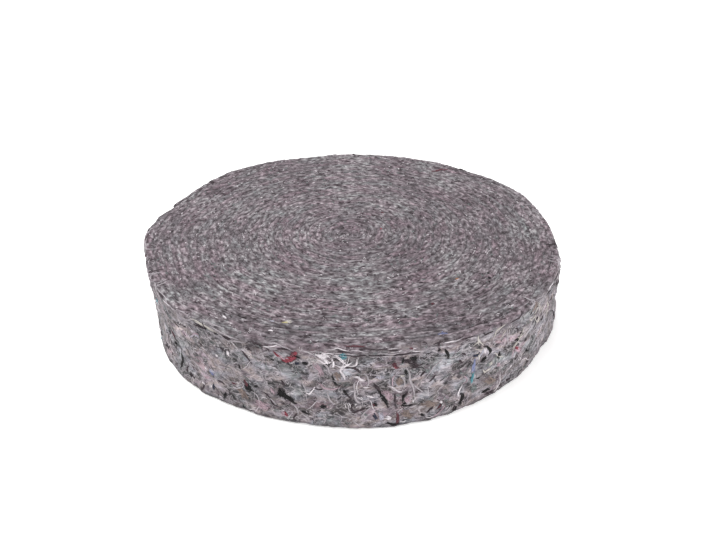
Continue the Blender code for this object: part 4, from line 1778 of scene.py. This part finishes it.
@dataclass(frozen=True)
class PhotoStage:
    """The pale floor, the soft studio light and the camera at the photograph's viewing angle."""

    lens_mm: float = 41.12
    camera_place: tuple[float, float, float] = (0.001856, -0.460626, 0.2913)
    camera_pitch: float = math.radians(31.02)
    floor_size: float = 8.0
    floor_drop: float = 0.0003
    sky_strength: float = 0.54

    def lay_floor(self) -> None:
        """A white studio floor: matt painted board that is lit evenly enough to read as pure white."""
        bm = bmesh.new()
        bmesh.ops.create_grid(bm, x_segments=1, y_segments=1, size=self.floor_size / 2)
        bmesh.ops.translate(bm, verts=bm.verts, vec=(0, 0, -self.floor_drop))
        mesh = bpy.data.meshes.new("studio_floor")
        bm.to_mesh(mesh)
        bm.free()
        floor = bpy.data.objects.new("studio_floor", mesh)
        bpy.context.scene.collection.objects.link(floor)
        material, tree, shader = start_material("white_painted_board")
        place = add_node(tree, "TexCoord").outputs["Object"]
        grain = add_node(tree, "TexNoise", inputs={"Vector": place, "Scale": 1 / 0.02, "Detail": 3.0})
        tone = add_node(
            tree,
            "ValToRGB",
            inputs={"Fac": grain.outputs["Fac"]},
            stops=((0.3, "#f4f3f2"), (0.7, "#f8f8f7")),
        )
        tree.links.new(tone.outputs[0], shader.inputs["Base Color"])
        shader.inputs["Roughness"].default_value = 0.9
        shader.inputs["Emission Color"].default_value = (1.0, 1.0, 1.0, 1.0)
        shader.inputs["Emission Strength"].default_value = 0.45
        mesh.materials.append(material)

    def hang_light(self, name: str, place: Vector, size: float, power: float) -> None:
        """Hangs a soft square lamp that faces the roll.

        Args:
            name: the lamp's name.
            place: where it hangs.
            size: the length of its sides, in metres.
            power: its power, in watts.
        """
        lamp = bpy.data.lights.new(name, "AREA")
        lamp.shape = "SQUARE"
        lamp.size = size
        lamp.energy = power
        holder = bpy.data.objects.new(name, lamp)
        holder.location = place
        holder.rotation_euler = (Vector((0, 0, 0.02)) - place).to_track_quat("-Z", "Y").to_euler()
        bpy.context.scene.collection.objects.link(holder)

    def light(self) -> None:
        """An even sky with a large lamp overhead and a softer one in front."""
        world = bpy.data.worlds.new("studio_sky")
        world.use_nodes = True
        sky = world.node_tree.nodes["Background"]
        sky.inputs["Color"].default_value = (1.0, 1.0, 1.0, 1.0)
        sky.inputs["Strength"].default_value = self.sky_strength
        scene = bpy.context.scene
        scene.world = world
        scene.view_settings.view_transform = "Standard"
        scene.view_settings.look = "None"
        self.hang_light("overhead_lamp", Vector((-0.34, 0.0, 1.15)), 0.8, 15.1)
        self.hang_light("front_lamp", Vector((1.25, -1.0, 0.5)), 0.9, 11.2)

    def set_camera(self) -> None:
        """The camera, fitted to the roll's rim and foot in the photograph."""
        camera = bpy.data.cameras.new("photo_camera")
        camera.lens = self.lens_mm
        camera.sensor_width = 36.0
        camera.clip_start = 0.01
        holder = bpy.data.objects.new("photo_camera", camera)
        holder.location = self.camera_place
        holder.rotation_euler = (math.pi / 2 - self.camera_pitch, 0, 0)
        bpy.context.scene.collection.objects.link(holder)
        bpy.context.scene.camera = holder

    def build(self) -> None:
        """Sets the floor, the lights and the camera."""
        self.lay_floor()
        self.light()
        self.set_camera()


def main() -> None:
    """Builds the roll, piece by piece, and its stage."""
    logging.basicConfig(level=logging.INFO, format="%(message)s")
    form = RollForm()
    felt = NeedledFelt().make()
    inner = settle(InnerTurns(form).build(), felt)
    outer = settle(OuterTurn(form).build(), felt)
    surface = RollSurface((inner, outer), form)
    cover = FibreCover(surface)
    for group in FIBRES:
        cover.build(group)
    threads = CaughtThreads(surface)
    for tint in Tint:
        threads.build(tint)
    PhotoStage().build()


if __name__ == "__main__":
    main()
